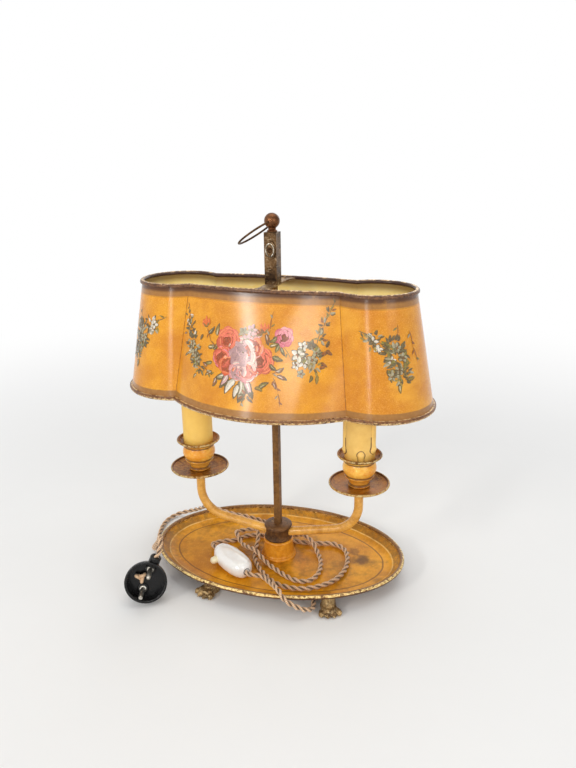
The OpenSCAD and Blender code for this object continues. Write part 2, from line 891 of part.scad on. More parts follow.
lead_route = [
    [switch_b[0], switch_b[1], switch_z],
    [switch_b[0] - su[0] * 7, switch_b[1] - su[1] * 7, switch_z],
    [-1, -54, over + 0.6],
    [7, -60, over + 1],
    [15, -69, 22.8],
    [22, -77, 23.6],
    [29, -82.5, 19.6],
    [38, -81, 13.6],
    [46, -76.5, 8.4],
    [50, -68, 5.2],
    [46, -52, 5.6],
    [36, -36, 6.2],
    [24, -21, 5],
    [17.4, -13.7, 2.9],
    [13.8, -9.8, 3.6],
    [lead_hole[0], lead_hole[1], tray_lift - 3.6],
    [lead_hole[0], lead_hole[1], tray_lift - 2]
];

main_route = [
    [switch_a[0], switch_a[1], switch_z],
    [switch_a[0] + su[0] * 5, switch_a[1] + su[1] * 5, switch_z],
    [switch_a[0] + su[0] * 9, switch_a[1] + su[1] * 9, switch_z - 1.4],
    [-66, -5, lie + 1],
    [-58, 3, lie],
    [-47, 8, lie],
    [-40, 17, lie],
    [-28, 22, lie],
    [4, 21, lie],
    [20, 20, lie],
    [36, 22, lie],
    [50, 24, lie],
    [62, 17, lie],
    [68, 2, lie],
    [69, -16, lie],
    [64, -33, lie],
    [52, -47, lie],
    [36, -55, lie],
    [15, -54, lie],
    [-4, -40, lie],
    [-18, -20, lie],
    [-23, 0, lie],
    [-25, 13, over - 2],
    [-29, 23, over + 0.5],
    [-38, 28, lie + 2],
    [-49, 21, lie + 2],
    [-46, 9, over + 0.8],
    [-37, -1, lie + 2.4],
    [-28, -9, over - 1],
    [-20, -14, over + 0.6],
    [-8, -22, lie + 1.4],
    [2, -29, lie],
    [28, -44, lie],
    [40, -42, lie],
    [46, -30, lie],
    [45, -12, lie],
    [38, 5, lie],
    [29, 16, over],
    [18, 23, over + 1],
    [6, 29, lie + 1],
    [-18, 43, lie],
    [-32, 50, lie],
    [-48, 53, lie + 1],
    [-64, 52, lie + 3],
    [-78, 49, lie + 7.5],
    [-87, 50, lie + 10],
    [-94, 52, lie + 9.6],
    [-100, 54.5, lie + 5.6],
    [-110, 59, 12.6],
    [-122, 62, 7],
    [-132.5, 59, 4],
    [-139, 49, 2.9],
    [-140, 36, 2.8],
    [-137, 21, 2.8],
    [-132, 6, 3],
    [-127.5, -9, 5],
    [-122.5, -22, 11],
    [-116.5, -34, 21],
    [-107.5, -45.5, 33],
    [-98, -57, 46],
    [-92, -67, 54.5],
    [-87.8, -75, 56.5],
    boss_end + boss_dir * 9,
    boss_end
];

function cross3(a, b) = cross(a, b);
function unit(v) = v / max(norm(v), 0.0001);
function tangent(p, i) = unit(p[min(i + 1, len(p) - 1)] - p[max(i - 1, 0)]);
function carry(v, t) = unit(v - (v * t) * t);
function frames(p, i, v) =
    i >= len(p) ? [] : let (w = carry(v, tangent(p, i))) concat([w], frames(p, i + 1, w));

module cord(p, start) {
    n = 8;
    t0 = tangent(p, 0);
    side = frames(p, 0, start);
    pts = [
        for (i = [0 : len(p) - 1])
            let (t = tangent(p, i), u = side[i], v = cross3(t, u))
            for (k = [0 : n - 1])
                p[i] + cord_r * (cos(k * 360 / n) * u + sin(k * 360 / n) * v)
    ];
    m = len(p);
    f = [
        [for (k = [0 : n - 1]) k],
        for (i = [0 : m - 2])
            for (k = [0 : n - 1])
                let (a = i * n + k, b = i * n + (k + 1) % n)
                each [[a, a + n, b + n], [a, b + n, b]],
        [for (k = [n - 1 : -1 : 0]) (m - 1) * n + k]
    ];
    polyhedron(pts, f, convexity = 8);
}

module grommet() {
    color([0.15, 0.12, 0.1])
        translate([lead_hole[0], lead_hole[1], tray_lift - 2])
            difference() {
                union() {
                    cylinder(d = cord_dia + 6, h = 2, $fn = 32);
                    cylinder(d = cord_dia + 2.2, h = 2 + tray_sheet, $fn = 32);
                }
                translate([0, 0, 1])
                    cylinder(d = cord_dia, h = 4, $fn = 32);
            }
}

module lamp_lead() {
    color([0.5, 0.36, 0.22])
        cord(lead_route, [0, 0, 1]);
}

module main_cord() {
    color([0.5, 0.36, 0.22])
        cord(main_route, [0, 0, 1]);
}

// ---- switch ------------------------------------------------------------------------------
module switch_place() {
    translate([switch_at[0], switch_at[1], switch_z])
        rotate([0, 0, switch_dir])
            children();
}

// Half of an oval profile turned about the switch's long axis, cut flat below
module switch_shape() {
    r = switch_wid / 2;
    h = switch_len / 2;
    intersection() {
        rotate([0, 90, 0])
            rotate_extrude($fn = 64)
                intersection() {
                    union() {
                        translate([0, r - 1 - h])
                            circle(r = r - 1, $fn = 64);
                        translate([0, h - r + 3.5])
                            circle(r = r - 3.5, $fn = 64);
                        polygon([
                            [0, r - 1 - h],
                            [r - 1, r - 1 - h],
                            [r, -h * 0.16],
                            [r - 0.8, h * 0.24],
                            [r - 3.5, h - r + 3.5],
                            [0, h - r + 3.5]
                        ]);
                    }
                    translate([0, -switch_len])
                        square([switch_wid, 2 * switch_len]);
                }
        translate([-switch_len, -switch_wid, -switch_h / 2])
            cube([2 * switch_len, 2 * switch_wid, switch_h]);
    }
}

module switch_bores() {
    translate([switch_len * 0.2, 0, 0])
        rotate([90, 0, 0])
            cylinder(d = push_dia + 2 * play, h = 2 * switch_wid, center = true, $fn = 32);
    for (s = [-1, 1])
        translate([s * switch_end, 0, 0])
            rotate([0, s * 90, 0])
                cylinder(d = cord_dia + 2 * play, h = switch_in + 1, $fn = 32);
}

module switch_body() {
    color([0.95, 0.94, 0.9])
        switch_place()
            difference() {
                switch_shape();
                switch_bores();
                translate([switch_len * 0.34, -switch_wid, -switch_h])
                    cube([switch_len, 2 * switch_wid, 2 * switch_h]);
            }
}

module switch_nose() {
    color([0.93, 0.92, 0.88])
        switch_place()
            difference() {
                switch_shape();
                switch_bores();
                translate([switch_len * 0.34 - 2 * switch_len, -switch_wid, -switch_h])
                    cube([2 * switch_len, 2 * switch_wid, 2 * switch_h]);
            }
}

module switch_push() {
    color([0.93, 0.88, 0.7])
        switch_place()
            translate([switch_len * 0.2, -switch_wid / 2 + 0.6, 0])
                rotate([-90, 0, 0])
                    cylinder(d = push_dia, h = switch_wid + push_travel - 0.6, $fn = 32);
}

// ---- plug --------------------------------------------------------------------------------
module plug_place() {
    translate([plug_at[0], plug_at[1], plug_r])
        rotate([0, 0, plug_dir])
            rotate([0, 90, 0])
                rotate([0, 0, -plug_roll])
                    children();
}

module plug_body() {
    color([0.06, 0.06, 0.06])
        plug_place()
            difference() {
                union() {
                    translate([0, 0, -plug_depth])
                        rotate_extrude($fn = 96)
                            polygon([
                                [0, 0],
                                [plug_r - 5, 0],
                                [plug_r - 2, 1.4],
                                [plug_r - 0.8, 4],
                                [plug_r, plug_depth - 3],
                                [plug_r, plug_depth],
                                [0, plug_depth]
                            ]);
                    translate([0, 0, -plug_depth * 0.5])
                        rotate([0, -90, 0])
                            cylinder(d = cord_dia + 5, h = plug_r + boss_h, $fn = 32);
                }
                translate([0, 0, -plug_depth * 0.62])
                    cylinder(r = plug_r - 2.6, h = plug_depth, $fn = 96);
                for (s = [-1, 1])
                    translate([s * pin_pitch / 2, 0, -plug_depth + 1])
                        cylinder(d = pin_dia + 2 * seat, h = plug_depth, $fn = 32);
                translate([0, 0, -plug_depth * 0.5])
                    rotate([0, -90, 0])
                        cylinder(d = cord_dia - 1, h = plug_r + boss_h - 1, $fn = 32);
            }
}

module plug_pins() {
    color([0.75, 0.75, 0.72])
        plug_place()
            for (s = [-1, 1])
                translate([s * pin_pitch / 2, 0, -plug_depth + 1]) {
                    cylinder(d = pin_dia, h = plug_depth - 1 + 12, $fn = 32);
                    translate([0, 0, plug_depth + 11])
                        sphere(d = pin_dia, $fn = 32);
                    translate([0, 0, plug_depth * 0.38 - 1 + seat])
                        cylinder(d = 7, h = 3, $fn = 32);
                }
}

module plug_knot() {
    color([0.75, 0.58, 0.38])
        plug_place()
            translate([-1, -4.5, -plug_depth * 0.62 + 1.4 + play]) {
                rotate_extrude($fn = 32)
                    translate([3, 0])
                        circle(r = 1.4, $fn = 16);
                translate([0, 0, 1.8])
                    sphere(r = 2.4, $fn = 24);
            }
}

tray();
tray_rim();
foot(-1, -1);  // foot_front_left
foot(1, -1);  // foot_front_right
foot(-1, 1);  // foot_back_left
foot(1, 1);  // foot_back_right
hub();
collar();
stem();
stem_washer();
stem_nut();
finial();
carry_ring();
arm(-1);  // arm_left
arm(1);  // arm_right
pan(-1, pan_z, pan_dia, cup_dia * 0.56);  // drip_pan_left
pan(1, pan_z, pan_dia, cup_dia * 0.56);  // drip_pan_right
cup(-1);  // cup_left
cup(1);  // cup_right
pan(-1, bob_z, bobeche_dia, bob_flat);  // bobeche_left
pan(1, bob_z, bobeche_dia, bob_flat);  // bobeche_right
candle(-1);  // candle_left
candle(1);  // candle_right
nipples();
holder(-1);  // holder_left
holder(1);  // holder_right
contact(-1);  // contact_left
contact(1);  // contact_right
arm_wires();
shade_wall();
shade_top_rim();
shade_low_rim();
cross_bar();
bar_rivets();
sleeve();
catch_plate();
catch_button();
catch_spring();
grommet();
lamp_lead();
main_cord();
switch_body();
switch_nose();
switch_push();
plug_body();
plug_pins();
plug_knot();
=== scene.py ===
"""Two-light bouillotte lamp in painted tin: dished oval tray on paw feet, square stem, sliding
four-lobed shade with painted garlands, two candle lights and a twisted textile cord."""

import math
import random

import bpy
from mathutils import Matrix, Vector, noise


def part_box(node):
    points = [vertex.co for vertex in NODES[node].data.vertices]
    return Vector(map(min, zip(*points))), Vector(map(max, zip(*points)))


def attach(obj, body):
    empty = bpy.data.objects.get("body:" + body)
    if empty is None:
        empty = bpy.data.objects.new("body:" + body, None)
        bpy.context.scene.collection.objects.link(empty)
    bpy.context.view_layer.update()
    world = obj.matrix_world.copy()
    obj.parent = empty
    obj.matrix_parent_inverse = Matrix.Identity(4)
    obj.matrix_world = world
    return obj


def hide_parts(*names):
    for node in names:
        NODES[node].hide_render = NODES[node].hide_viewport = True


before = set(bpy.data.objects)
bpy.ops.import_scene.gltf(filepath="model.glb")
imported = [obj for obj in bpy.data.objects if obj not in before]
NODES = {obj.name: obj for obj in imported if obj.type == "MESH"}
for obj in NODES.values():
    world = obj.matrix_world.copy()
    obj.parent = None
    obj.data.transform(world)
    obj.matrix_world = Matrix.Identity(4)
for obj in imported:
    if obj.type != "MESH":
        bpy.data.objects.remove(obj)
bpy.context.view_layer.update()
MM = 0.001


def mm(*values):
    """Millimetres to metres."""
    return tuple(v * MM for v in values)


# ---------------------------------------------------------------- shader graphs

def rgb(red, green, blue):
    """A colour given as it looks on a screen, 0 to 255, as a linear colour."""
    def linear(c):
        c = c / 255
        return c / 12.92 if c <= 0.04045 else ((c + 0.055) / 1.055) ** 2.4
    return (linear(red), linear(green), linear(blue), 1.0)


class Graph:
    """Short ways to add and join shader nodes."""

    def __init__(self, tree):
        self.tree = tree

    def link(self, source, target):
        self.tree.links.new(source, target)

    def put(self, socket, value):
        if isinstance(value, bpy.types.NodeSocket):
            self.link(value, socket)
        elif value is not None:
            socket.default_value = value

    def node(self, kind, inputs=(), **settings):
        n = self.tree.nodes.new(kind)
        for key, value in settings.items():
            setattr(n, key, value)
        for key, value in dict(inputs).items():
            self.put(n.inputs[key], value)
        return n

    def math(self, operation, a, b=None):
        n = self.node("ShaderNodeMath", operation=operation)
        for socket, value in zip(n.inputs, (a, b)):
            self.put(socket, value)
        return n.outputs[0]

    def plus(self, a, b):
        return self.math("ADD", a, b)

    def minus(self, a, b):
        return self.math("SUBTRACT", a, b)

    def times(self, a, b):
        return self.math("MULTIPLY", a, b)

    def most(self, a, b):
        return self.math("MAXIMUM", a, b)

    def mix(self, share, a, b):
        n = self.node("ShaderNodeMix", data_type="RGBA")
        self.put(n.inputs[0], share)
        self.put(n.inputs[6], a)
        self.put(n.inputs[7], b)
        return n.outputs[2]

    def level(self, value, low, high, out_low=0.0, out_high=1.0):
        n = self.node("ShaderNodeMapRange", clamp=True, interpolation_type="SMOOTHSTEP")
        for key, item in enumerate((value, low, high, out_low, out_high)):
            self.put(n.inputs[key], item)
        return n.outputs[0]

    def noise(self, where, scale, detail=4.0, rough=0.55, warp=0.0):
        n = self.node("ShaderNodeTexNoise", {"Vector": where, "Scale": scale, "Detail": detail,
                                             "Roughness": rough, "Distortion": warp})
        return n.outputs["Fac"]

    def sway(self, reach, where, scale, detail=4.0):
        """Noise on both sides of zero, which frays an edge."""
        return self.times(self.minus(self.noise(where, scale, detail), 0.5), reach)

    def stretch(self, where, scale):
        n = self.node("ShaderNodeMapping", {"Vector": where, "Scale": scale})
        return n.outputs[0]

    def bump(self, height, distance, strength):
        n = self.node("ShaderNodeBump", {"Strength": strength, "Distance": distance, "Height": height})
        return n.outputs[0]

    def coords(self):
        return self.node("ShaderNodeTexCoord").outputs["Object"]

    def attribute(self, name):
        return self.node("ShaderNodeAttribute", attribute_name=name).outputs["Fac"]

    def use(self, group, **inputs):
        n = self.node("ShaderNodeGroup", node_tree=group)
        for key, value in inputs.items():
            self.put(n.inputs[key], value)
        return n.outputs


def new_group(name, inputs, outputs):
    """A node group with named float, vector or colour sockets."""
    kinds = {"f": "NodeSocketFloat", "v": "NodeSocketVector", "c": "NodeSocketColor"}
    tree = bpy.data.node_groups.new(name, "ShaderNodeTree")
    for key, kind in inputs:
        tree.interface.new_socket(key, in_out="INPUT", socket_type=kinds[kind])
    for key, kind in outputs:
        tree.interface.new_socket(key, in_out="OUTPUT", socket_type=kinds[kind])
    g = Graph(tree)
    return tree, g, g.node("NodeGroupInput").outputs, g.node("NodeGroupOutput").inputs


def make_mottle():
    """Broad and fine tone changes, as in hand-brushed paint or old varnish."""
    tree, g, given, out = new_group("mottle", [("Vector", "v"), ("Scale", "f")], [("Value", "f")])
    broad = g.noise(given["Vector"], given["Scale"], 3.0, 0.6, 0.6)
    fine = g.noise(given["Vector"], g.times(given["Scale"], 6.3), 6.0, 0.65)
    g.link(g.plus(g.times(broad, 0.62), g.times(fine, 0.38)), out["Value"])
    return tree


def make_flecks():
    """Small sharp-edged spots: chips, rust dots and specks of dirt. Cover is 0 to 1."""
    tree, g, given, out = new_group(
        "flecks", [("Vector", "v"), ("Scale", "f"), ("Cover", "f")], [("Mask", "f")])
    grain = g.noise(given["Vector"], given["Scale"], 5.0, 0.72, 0.4)
    edge = g.minus(0.80, g.times(given["Cover"], 0.42))
    g.link(g.level(grain, edge, g.plus(edge, 0.035)), out["Mask"])
    return tree


def make_scratches():
    """Fine long scratches, each running its own way."""
    tree, g, given, out = new_group(
        "scratches", [("Vector", "v"), ("Scale", "f"), ("Cover", "f")], [("Mask", "f")])
    total = None
    for turn, stretch in ((0.5, (1, 14, 1)), (2.2, (16, 1, 1)), (1.2, (1, 1, 18))):
        spun = g.node("ShaderNodeMapping", {"Vector": given["Vector"], "Rotation": (turn, turn * 0.6, turn),
                                            "Scale": stretch}).outputs[0]
        line = g.noise(spun, given["Scale"], 2.0, 0.5)
        edge = g.minus(0.78, g.times(given["Cover"], 0.25))
        line = g.level(line, edge, g.plus(edge, 0.03))
        total = line if total is None else g.most(total, line)
    g.link(total, out["Mask"])
    return tree


MOTTLE, FLECKS, SCRATCHES = make_mottle(), make_flecks(), make_scratches()


def new_material(name, metallic=0.0, coat=0.0, coat_roughness=0.1, **plain):
    """A material with a Principled shader. Returns the material, its graph and shader inputs."""
    mat = bpy.data.materials.new(name)
    mat.use_nodes = True
    g = Graph(mat.node_tree)
    g.tree.nodes.clear()
    shader = g.node("ShaderNodeBsdfPrincipled", {"Metallic": metallic, "Coat Weight": coat,
                                                 "Coat Roughness": coat_roughness, "IOR": 1.5, **plain})
    out = g.node("ShaderNodeOutputMaterial")
    g.link(shader.outputs[0], out.inputs[0])
    return mat, g, shader.inputs


# ---------------------------------------------------------------- camera, lamps and floor

SENSOR_MM = 36.0
PICTURE_HEIGHT_PX = 768
FOCAL_PX = 679.756
CAMERA_AT = (163.266, -556.622, 384.203)
CAMERA_AHEAD = (-0.24839664, 0.91318739, -0.32309115)
CAMERA_RIGHT = (0.96606485, 0.25793668, -0.01368882)


def place_camera():
    """The camera looks down on the lamp from the front right, with a slight roll."""
    data = bpy.data.cameras.new("camera")
    data.sensor_width = SENSOR_MM
    data.lens = SENSOR_MM * FOCAL_PX / PICTURE_HEIGHT_PX
    data.clip_start, data.clip_end = 0.02, 40
    cam = bpy.data.objects.new("camera", data)
    ahead, right = Vector(CAMERA_AHEAD).normalized(), Vector(CAMERA_RIGHT).normalized()
    up = right.cross(ahead)
    turn = Matrix((right, up, -ahead)).transposed().to_4x4()
    cam.matrix_world = Matrix.Translation(mm(*CAMERA_AT)) @ turn
    bpy.context.scene.collection.objects.link(cam)
    bpy.context.scene.camera = cam


def area_lamp(name, at, aim, size, power, tint=(1, 1, 1), along=(0, 0, 1)):
    """A rectangular lamp facing aim, its longer side lying along the given direction."""
    data = bpy.data.lights.new(name, "AREA")
    data.shape = "RECTANGLE"
    data.size, data.size_y = size
    data.energy = power
    data.color = tint
    lamp = bpy.data.objects.new(name, data)
    back = (Vector(at) - Vector(aim)).normalized()
    tall = (Vector(along) - back * back.dot(along)).normalized()
    turn = Matrix((tall.cross(back), tall, back)).transposed().to_4x4()
    lamp.matrix_world = Matrix.Translation(at) @ turn
    bpy.context.scene.collection.objects.link(lamp)


def seen_plainly(g):
    """1 where the camera, a mirror or clear glass looks straight at a thing."""
    path = g.node("ShaderNodeLightPath")
    seen = g.most(path.outputs["Is Camera Ray"], path.outputs["Is Glossy Ray"])
    return g.most(seen, path.outputs["Is Transmission Ray"])


def set_studio():
    """Soft fill all round, plain white where it is looked at, and six lamps. The three narrow ones
    lie so that their glints run down the lobes of the shade."""
    scene = bpy.context.scene
    scene.view_settings.view_transform = "Standard"
    world = bpy.data.worlds.new("studio")
    scene.world = world
    world.use_nodes = True
    g = Graph(world.node_tree)
    g.tree.nodes.clear()
    fill = g.node("ShaderNodeBackground", {"Color": (0.94, 0.96, 1.0, 1), "Strength": 0.55})
    plain = g.node("ShaderNodeBackground", {"Color": (1, 1, 1, 1), "Strength": 1.0})
    both = g.node("ShaderNodeMixShader")
    g.link(seen_plainly(g), both.inputs[0])
    g.link(fill.outputs[0], both.inputs[1])
    g.link(plain.outputs[0], both.inputs[2])
    g.link(both.outputs[0], g.node("ShaderNodeOutputWorld").inputs[0])
    middle = (0, 0, 0.2)
    area_lamp("left_window", (-0.97, -1.60, 1.07), middle, (0.16, 0.6), 10.5, (1.0, 0.98, 0.95),
              along=(0.49, -0.59, -0.64))
    area_lamp("front_window", (0.10, -1.88, 1.0), middle, (0.07, 0.8), 5.5, (1.0, 0.99, 0.97),
              along=(0.95, -0.08, -0.3))
    area_lamp("low_front", (-0.30, -2.0, 0.18), middle, (0.12, 0.4), 2.6, along=(0.68, -0.15, -0.71))
    area_lamp("broad_front", (1.55, -1.25, 0.85), middle, (0.9, 1.0), 8.0, (0.97, 0.98, 1.0))
    area_lamp("soft_top", (0.1, 0.2, 1.7), (0, 0, 0.1), (1.4, 1.2), 8.5)
    area_lamp("soft_back", (0.2, 1.8, 1.1), middle, (1.6, 1.0), 5)


def lay_floor():
    """A pale table top that turns plain white away from the lamp, where it is looked at."""
    bpy.ops.object.select_all(action="DESELECT")
    bpy.ops.mesh.primitive_circle_add(vertices=96, radius=6.0, fill_type="NGON", location=(0, 0, 0))
    floor = bpy.context.object
    floor.name = "floor"
    mat, g, shader = new_material("floor")
    tone = g.use(MOTTLE, Vector=g.coords(), Scale=3.0)["Value"]
    g.link(g.mix(tone, rgb(232, 231, 228), rgb(238, 237, 234)), shader["Base Color"])
    shader["Roughness"].default_value = 0.7
    far = g.node("ShaderNodeVectorMath", {0: g.coords()}, operation="LENGTH").outputs["Value"]
    white = g.times(g.level(far, 0.25, 1.1), seen_plainly(g))
    both = g.node("ShaderNodeMixShader")
    out = next(n for n in g.tree.nodes if n.type == "OUTPUT_MATERIAL")
    g.link(white, both.inputs[0])
    g.link(out.inputs[0].links[0].from_socket, both.inputs[1])
    g.link(g.node("ShaderNodeEmission", {"Color": (1, 1, 1, 1), "Strength": 1.0}).outputs[0], both.inputs[2])
    g.link(both.outputs[0], out.inputs[0])
    floor.data.materials.append(mat)


# ---------------------------------------------------------------- cords

CORD_D = 5.2
STRAND_R = 1.18
TWISTS_PER_METRE = 66
FLOOR_TOP = 10.8
LIE = FLOOR_TOP + CORD_D / 2 + 0.2
OVER = LIE + CORD_D + 0.4
SWITCH_AT = Vector((-36, -35, FLOOR_TOP + 8.7))
SWITCH_TURN = math.radians(142)
SWITCH_U = Vector((math.cos(SWITCH_TURN), math.sin(SWITCH_TURN), 0))
SWITCH_SIDE = Vector((-SWITCH_U.y, SWITCH_U.x, 0))
SWITCH_A, SWITCH_B = SWITCH_AT + SWITCH_U * 23, SWITCH_AT - SWITCH_U * 23
PLUG_FACE = Vector((-97, -93, 19))
PLUG_TURN = math.radians(-68)
PLUG_ROLL = math.radians(24)
PLUG_LEAN = math.radians(14)
PIN_PITCH = 19.0
PLUG_OUT = Vector((math.cos(PLUG_TURN), math.sin(PLUG_TURN), 0))
PLUG_SIDE = Vector((-PLUG_OUT.y, PLUG_OUT.x, 0))
BOSS_DIR = PLUG_SIDE * math.sin(PLUG_ROLL) + Vector((0, 0, math.cos(PLUG_ROLL)))
BOSS_END = PLUG_FACE - PLUG_OUT * 9 + BOSS_DIR * 26

LEAD_ROUTE = [
    (12, -8, 7.6), (12, -8, 6), (13.8, -9.8, 3.6), (17.4, -13.7, 2.9), (24, -21, 5), (36, -36, 6.2),
    (46, -52, 5.6), (50, -68, 5.2), (46, -76.5, 8.4), (38, -81, 13.6), (29, -82.5, 19.6),
    (22, -77, 23.6), (15, -69, 22.8), (7, -60, OVER + 1), (-1, -54, OVER + 0.6),
    SWITCH_B - SWITCH_U * 7, SWITCH_B,
]
MAIN_ROUTE = [
    SWITCH_A, SWITCH_A + SWITCH_U * 5, SWITCH_A + SWITCH_U * 9 - Vector((0, 0, 1.4)),
    (-66, -5, LIE + 1), (-58, 3, LIE),
    (-47, 8, LIE), (-40, 17, LIE), (-28, 22, LIE), (4, 21, LIE), (20, 20, LIE), (36, 22, LIE),
    (50, 24, LIE), (62, 17, LIE), (68, 2, LIE), (69, -16, LIE), (64, -33, LIE), (52, -47, LIE),
    (36, -55, LIE), (15, -54, LIE), (-4, -40, LIE), (-18, -20, LIE), (-23, 0, LIE),
    (-25, 13, OVER - 2), (-29, 23, OVER + 0.5), (-38, 28, LIE + 2), (-49, 21, LIE + 2),
    (-46, 9, OVER + 0.8), (-37, -1, LIE + 2.4), (-28, -9, OVER - 1), (-20, -14, OVER + 0.6),
    (-8, -22, LIE + 1.4), (2, -29, LIE), (28, -44, LIE), (40, -42, LIE), (46, -30, LIE),
    (45, -12, LIE), (38, 5, LIE), (29, 16, OVER), (18, 23, OVER + 1), (6, 29, LIE + 1),
    (-18, 43, LIE), (-32, 50, LIE), (-48, 53, LIE + 1), (-64, 52, LIE + 3), (-78, 49, LIE + 7.5),
    (-87, 50, LIE + 10), (-94, 52, LIE + 9.6), (-100, 54.5, LIE + 5.6), (-110, 59, 12.6),
    (-122, 62, 7), (-132.5, 59, 4), (-139, 49, 2.9), (-140, 36, 2.8), (-137, 21, 2.8),
    (-132, 6, 3), (-127.5, -9, 5), (-122.5, -22, 11), (-116.5, -34, 21), (-107.5, -45.5, 33),
    (-98, -57, 46), (-92, -67, 54.5), (-87.8, -75, 56.5), BOSS_END + BOSS_DIR * 9, BOSS_END,
]


def smooth_route(points, step=1.2):
    """Points in metres on one smooth curve through the route's points, evenly apart."""
    pts = [Vector(p) for p in points]
    pts = [pts[0] * 2 - pts[1]] + pts + [pts[-1] * 2 - pts[-2]]
    dense = []
    for p0, p1, p2, p3 in zip(pts, pts[1:], pts[2:], pts[3:]):
        knots = [0.0]
        for a, b in ((p0, p1), (p1, p2), (p2, p3)):
            knots.append(knots[-1] + max((b - a).length, 1e-6) ** 0.5)
        for i in range(24):
            t = knots[1] + (knots[2] - knots[1]) * i / 24
            a1 = p0.lerp(p1, (t - knots[0]) / (knots[1] - knots[0]))
            a2 = p1.lerp(p2, (t - knots[1]) / (knots[2] - knots[1]))
            a3 = p2.lerp(p3, (t - knots[2]) / (knots[3] - knots[2]))
            b1 = a1.lerp(a2, (t - knots[0]) / (knots[2] - knots[0]))
            b2 = a2.lerp(a3, (t - knots[1]) / (knots[3] - knots[1]))
            dense.append(b1.lerp(b2, (t - knots[1]) / (knots[2] - knots[1])))
    dense.append(pts[-2])
    reach = [0.0]
    for a, b in zip(dense, dense[1:]):
        reach.append(reach[-1] + (b - a).length)
    count = max(2, round(reach[-1] / step))
    even, k = [], 0
    for i in range(count + 1):
        want = reach[-1] * i / count
        while k < len(reach) - 2 and reach[k + 1] < want:
            k += 1
        share = (want - reach[k]) / max(reach[k + 1] - reach[k], 1e-9)
        even.append(dense[k].lerp(dense[k + 1], min(1.0, share)) * MM)
    return even, reach[-1] * MM


def twisted_pair(name, centreline, sides=10):
    """Two covered wires twisted together along a centreline, with UV running along each."""
    verts, faces, uvs = [], [], []
    count = len(centreline)
    along, spin = [0.0], []
    for a, b in zip(centreline, centreline[1:]):
        along.append(along[-1] + (b - a).length)
    tangents = [(centreline[min(i + 1, count - 1)] - centreline[max(i - 1, 0)]).normalized()
                for i in range(count)]
    side = tangents[0].orthogonal().normalized()
    for i in range(count):
        side = (side - tangents[i] * side.dot(tangents[i])).normalized()
        spin.append((side.copy(), tangents[i].cross(side)))
    offset = (CORD_D / 2 - 0.25 - STRAND_R) * MM
    for k in (0, 1):
        first = len(verts)
        centres = []
        for i in range(count):
            turn = along[i] * TWISTS_PER_METRE * 2 * math.pi + k * math.pi
            u, v = spin[i]
            centres.append(centreline[i] + (u * math.cos(turn) + v * math.sin(turn)) * offset)
        for i in range(count):
            t = (centres[min(i + 1, count - 1)] - centres[max(i - 1, 0)]).normalized()
            u = centres[i] - centreline[i]
            u = (u - t * u.dot(t)).normalized()
            v = t.cross(u)
            for j in range(sides):
                a = 2 * math.pi * j / sides
                verts.append(centres[i] + (u * math.cos(a) + v * math.sin(a)) * STRAND_R * MM)
        for i in range(count - 1):
            for j in range(sides):
                a, b = first + i * sides + j, first + i * sides + (j + 1) % sides
                faces.append((a, b, b + sides, a + sides))
                uvs.append([(along[i], j / sides), (along[i], (j + 1) / sides),
                            (along[i + 1], (j + 1) / sides), (along[i + 1], j / sides)])
        for ring, order in ((first, -1), (first + (count - 1) * sides, 1)):
            faces.append([ring + j for j in range(sides)][::order])
            uvs.append([(0, 0)] * sides)
    mesh = bpy.data.meshes.new(name)
    mesh.from_pydata(verts, [], faces)
    layer = mesh.uv_layers.new(name="braid")
    layer.data.foreach_set("uv", [c for face in uvs for point in face for c in point])
    mesh.validate()
    for p in mesh.polygons:
        p.use_smooth = True
    cord = bpy.data.objects.new(name, mesh)
    bpy.context.scene.collection.objects.link(cord)
    return cord


def braid_material():
    """Tan textile cover, with painted shade where the two strands lie together."""
    mat, g, shader = new_material("cord_braid", **{"Sheen Weight": 0.3, "Sheen Roughness": 0.4,
                                                   "Specular IOR Level": 0.4})
    uv = g.node("ShaderNodeUVMap", uv_map="braid").outputs[0]
    split = g.node("ShaderNodeSeparateXYZ", {"Vector": uv}).outputs
    long, round_ = g.times(split[0], 900.0), g.times(split[1], 8.0)
    one = g.math("SINE", g.times(g.plus(long, round_), math.pi))
    two = g.math("SINE", g.times(g.minus(long, round_), math.pi))
    weave = g.times(one, two)
    tone = g.use(MOTTLE, Vector=g.coords(), Scale=70.0)["Value"]
    dark = g.mix(tone, rgb(158, 114, 78), rgb(196, 150, 108))
    light = g.mix(tone, rgb(226, 186, 142), rgb(250, 222, 186))
    colour = g.mix(g.level(weave, -0.6, 0.5), dark, light)
    # painted shade: each strand darkens on the side that faces the other strand
    strand_shade = g.level(g.math("ABSOLUTE", g.minus(split[1], 0.5)), 0.34, 0.16)
    g.link(g.mix(g.times(strand_shade, 0.8), colour, rgb(84, 52, 30)), shader["Base Color"])
    shader["Roughness"].default_value = 0.62
    g.link(g.bump(weave, 0.00010, 0.8), shader["Normal"])
    return mat


def make_cords(braid):
    """The lamp's own lead up to the switch, and the main cord from there to the plug."""
    lead_line, lead_length = smooth_route(LEAD_ROUTE)
    lead = twisted_pair("lamp_lead_twisted", lead_line)
    main_line, main_length = smooth_route(MAIN_ROUTE)
    main = twisted_pair("main_cord_twisted", main_line)
    for cord, node in ((lead, "lamp_lead"), (main, "main_cord")):
        cord.data.materials.append(braid)
        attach(cord, "base")
        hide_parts(node)


# ---------------------------------------------------------------- measures shared with the solids

HUB_H, COLLAR_H = 18.4, 16.0
COLLAR_Z = FLOOR_TOP + HUB_H
ARM_Z = COLLAR_Z + COLLAR_H / 2
PAN_Z = ARM_Z + 56
CUP_Z = PAN_Z + 1.2
BOB_Z = CUP_Z + 27
CANDLE_Z = BOB_Z + 1.2
CANDLE_H = 62.0
LIGHT_X = 78.0
STEM_TOP = 321.5
BALL_Z = STEM_TOP + 2.6 + 13.2 * 0.46
SHADE_Z, BAR_Z = 181.0, 276.0
SHADE_TURN = Matrix.Rotation(math.radians(-5), 4, "Z")
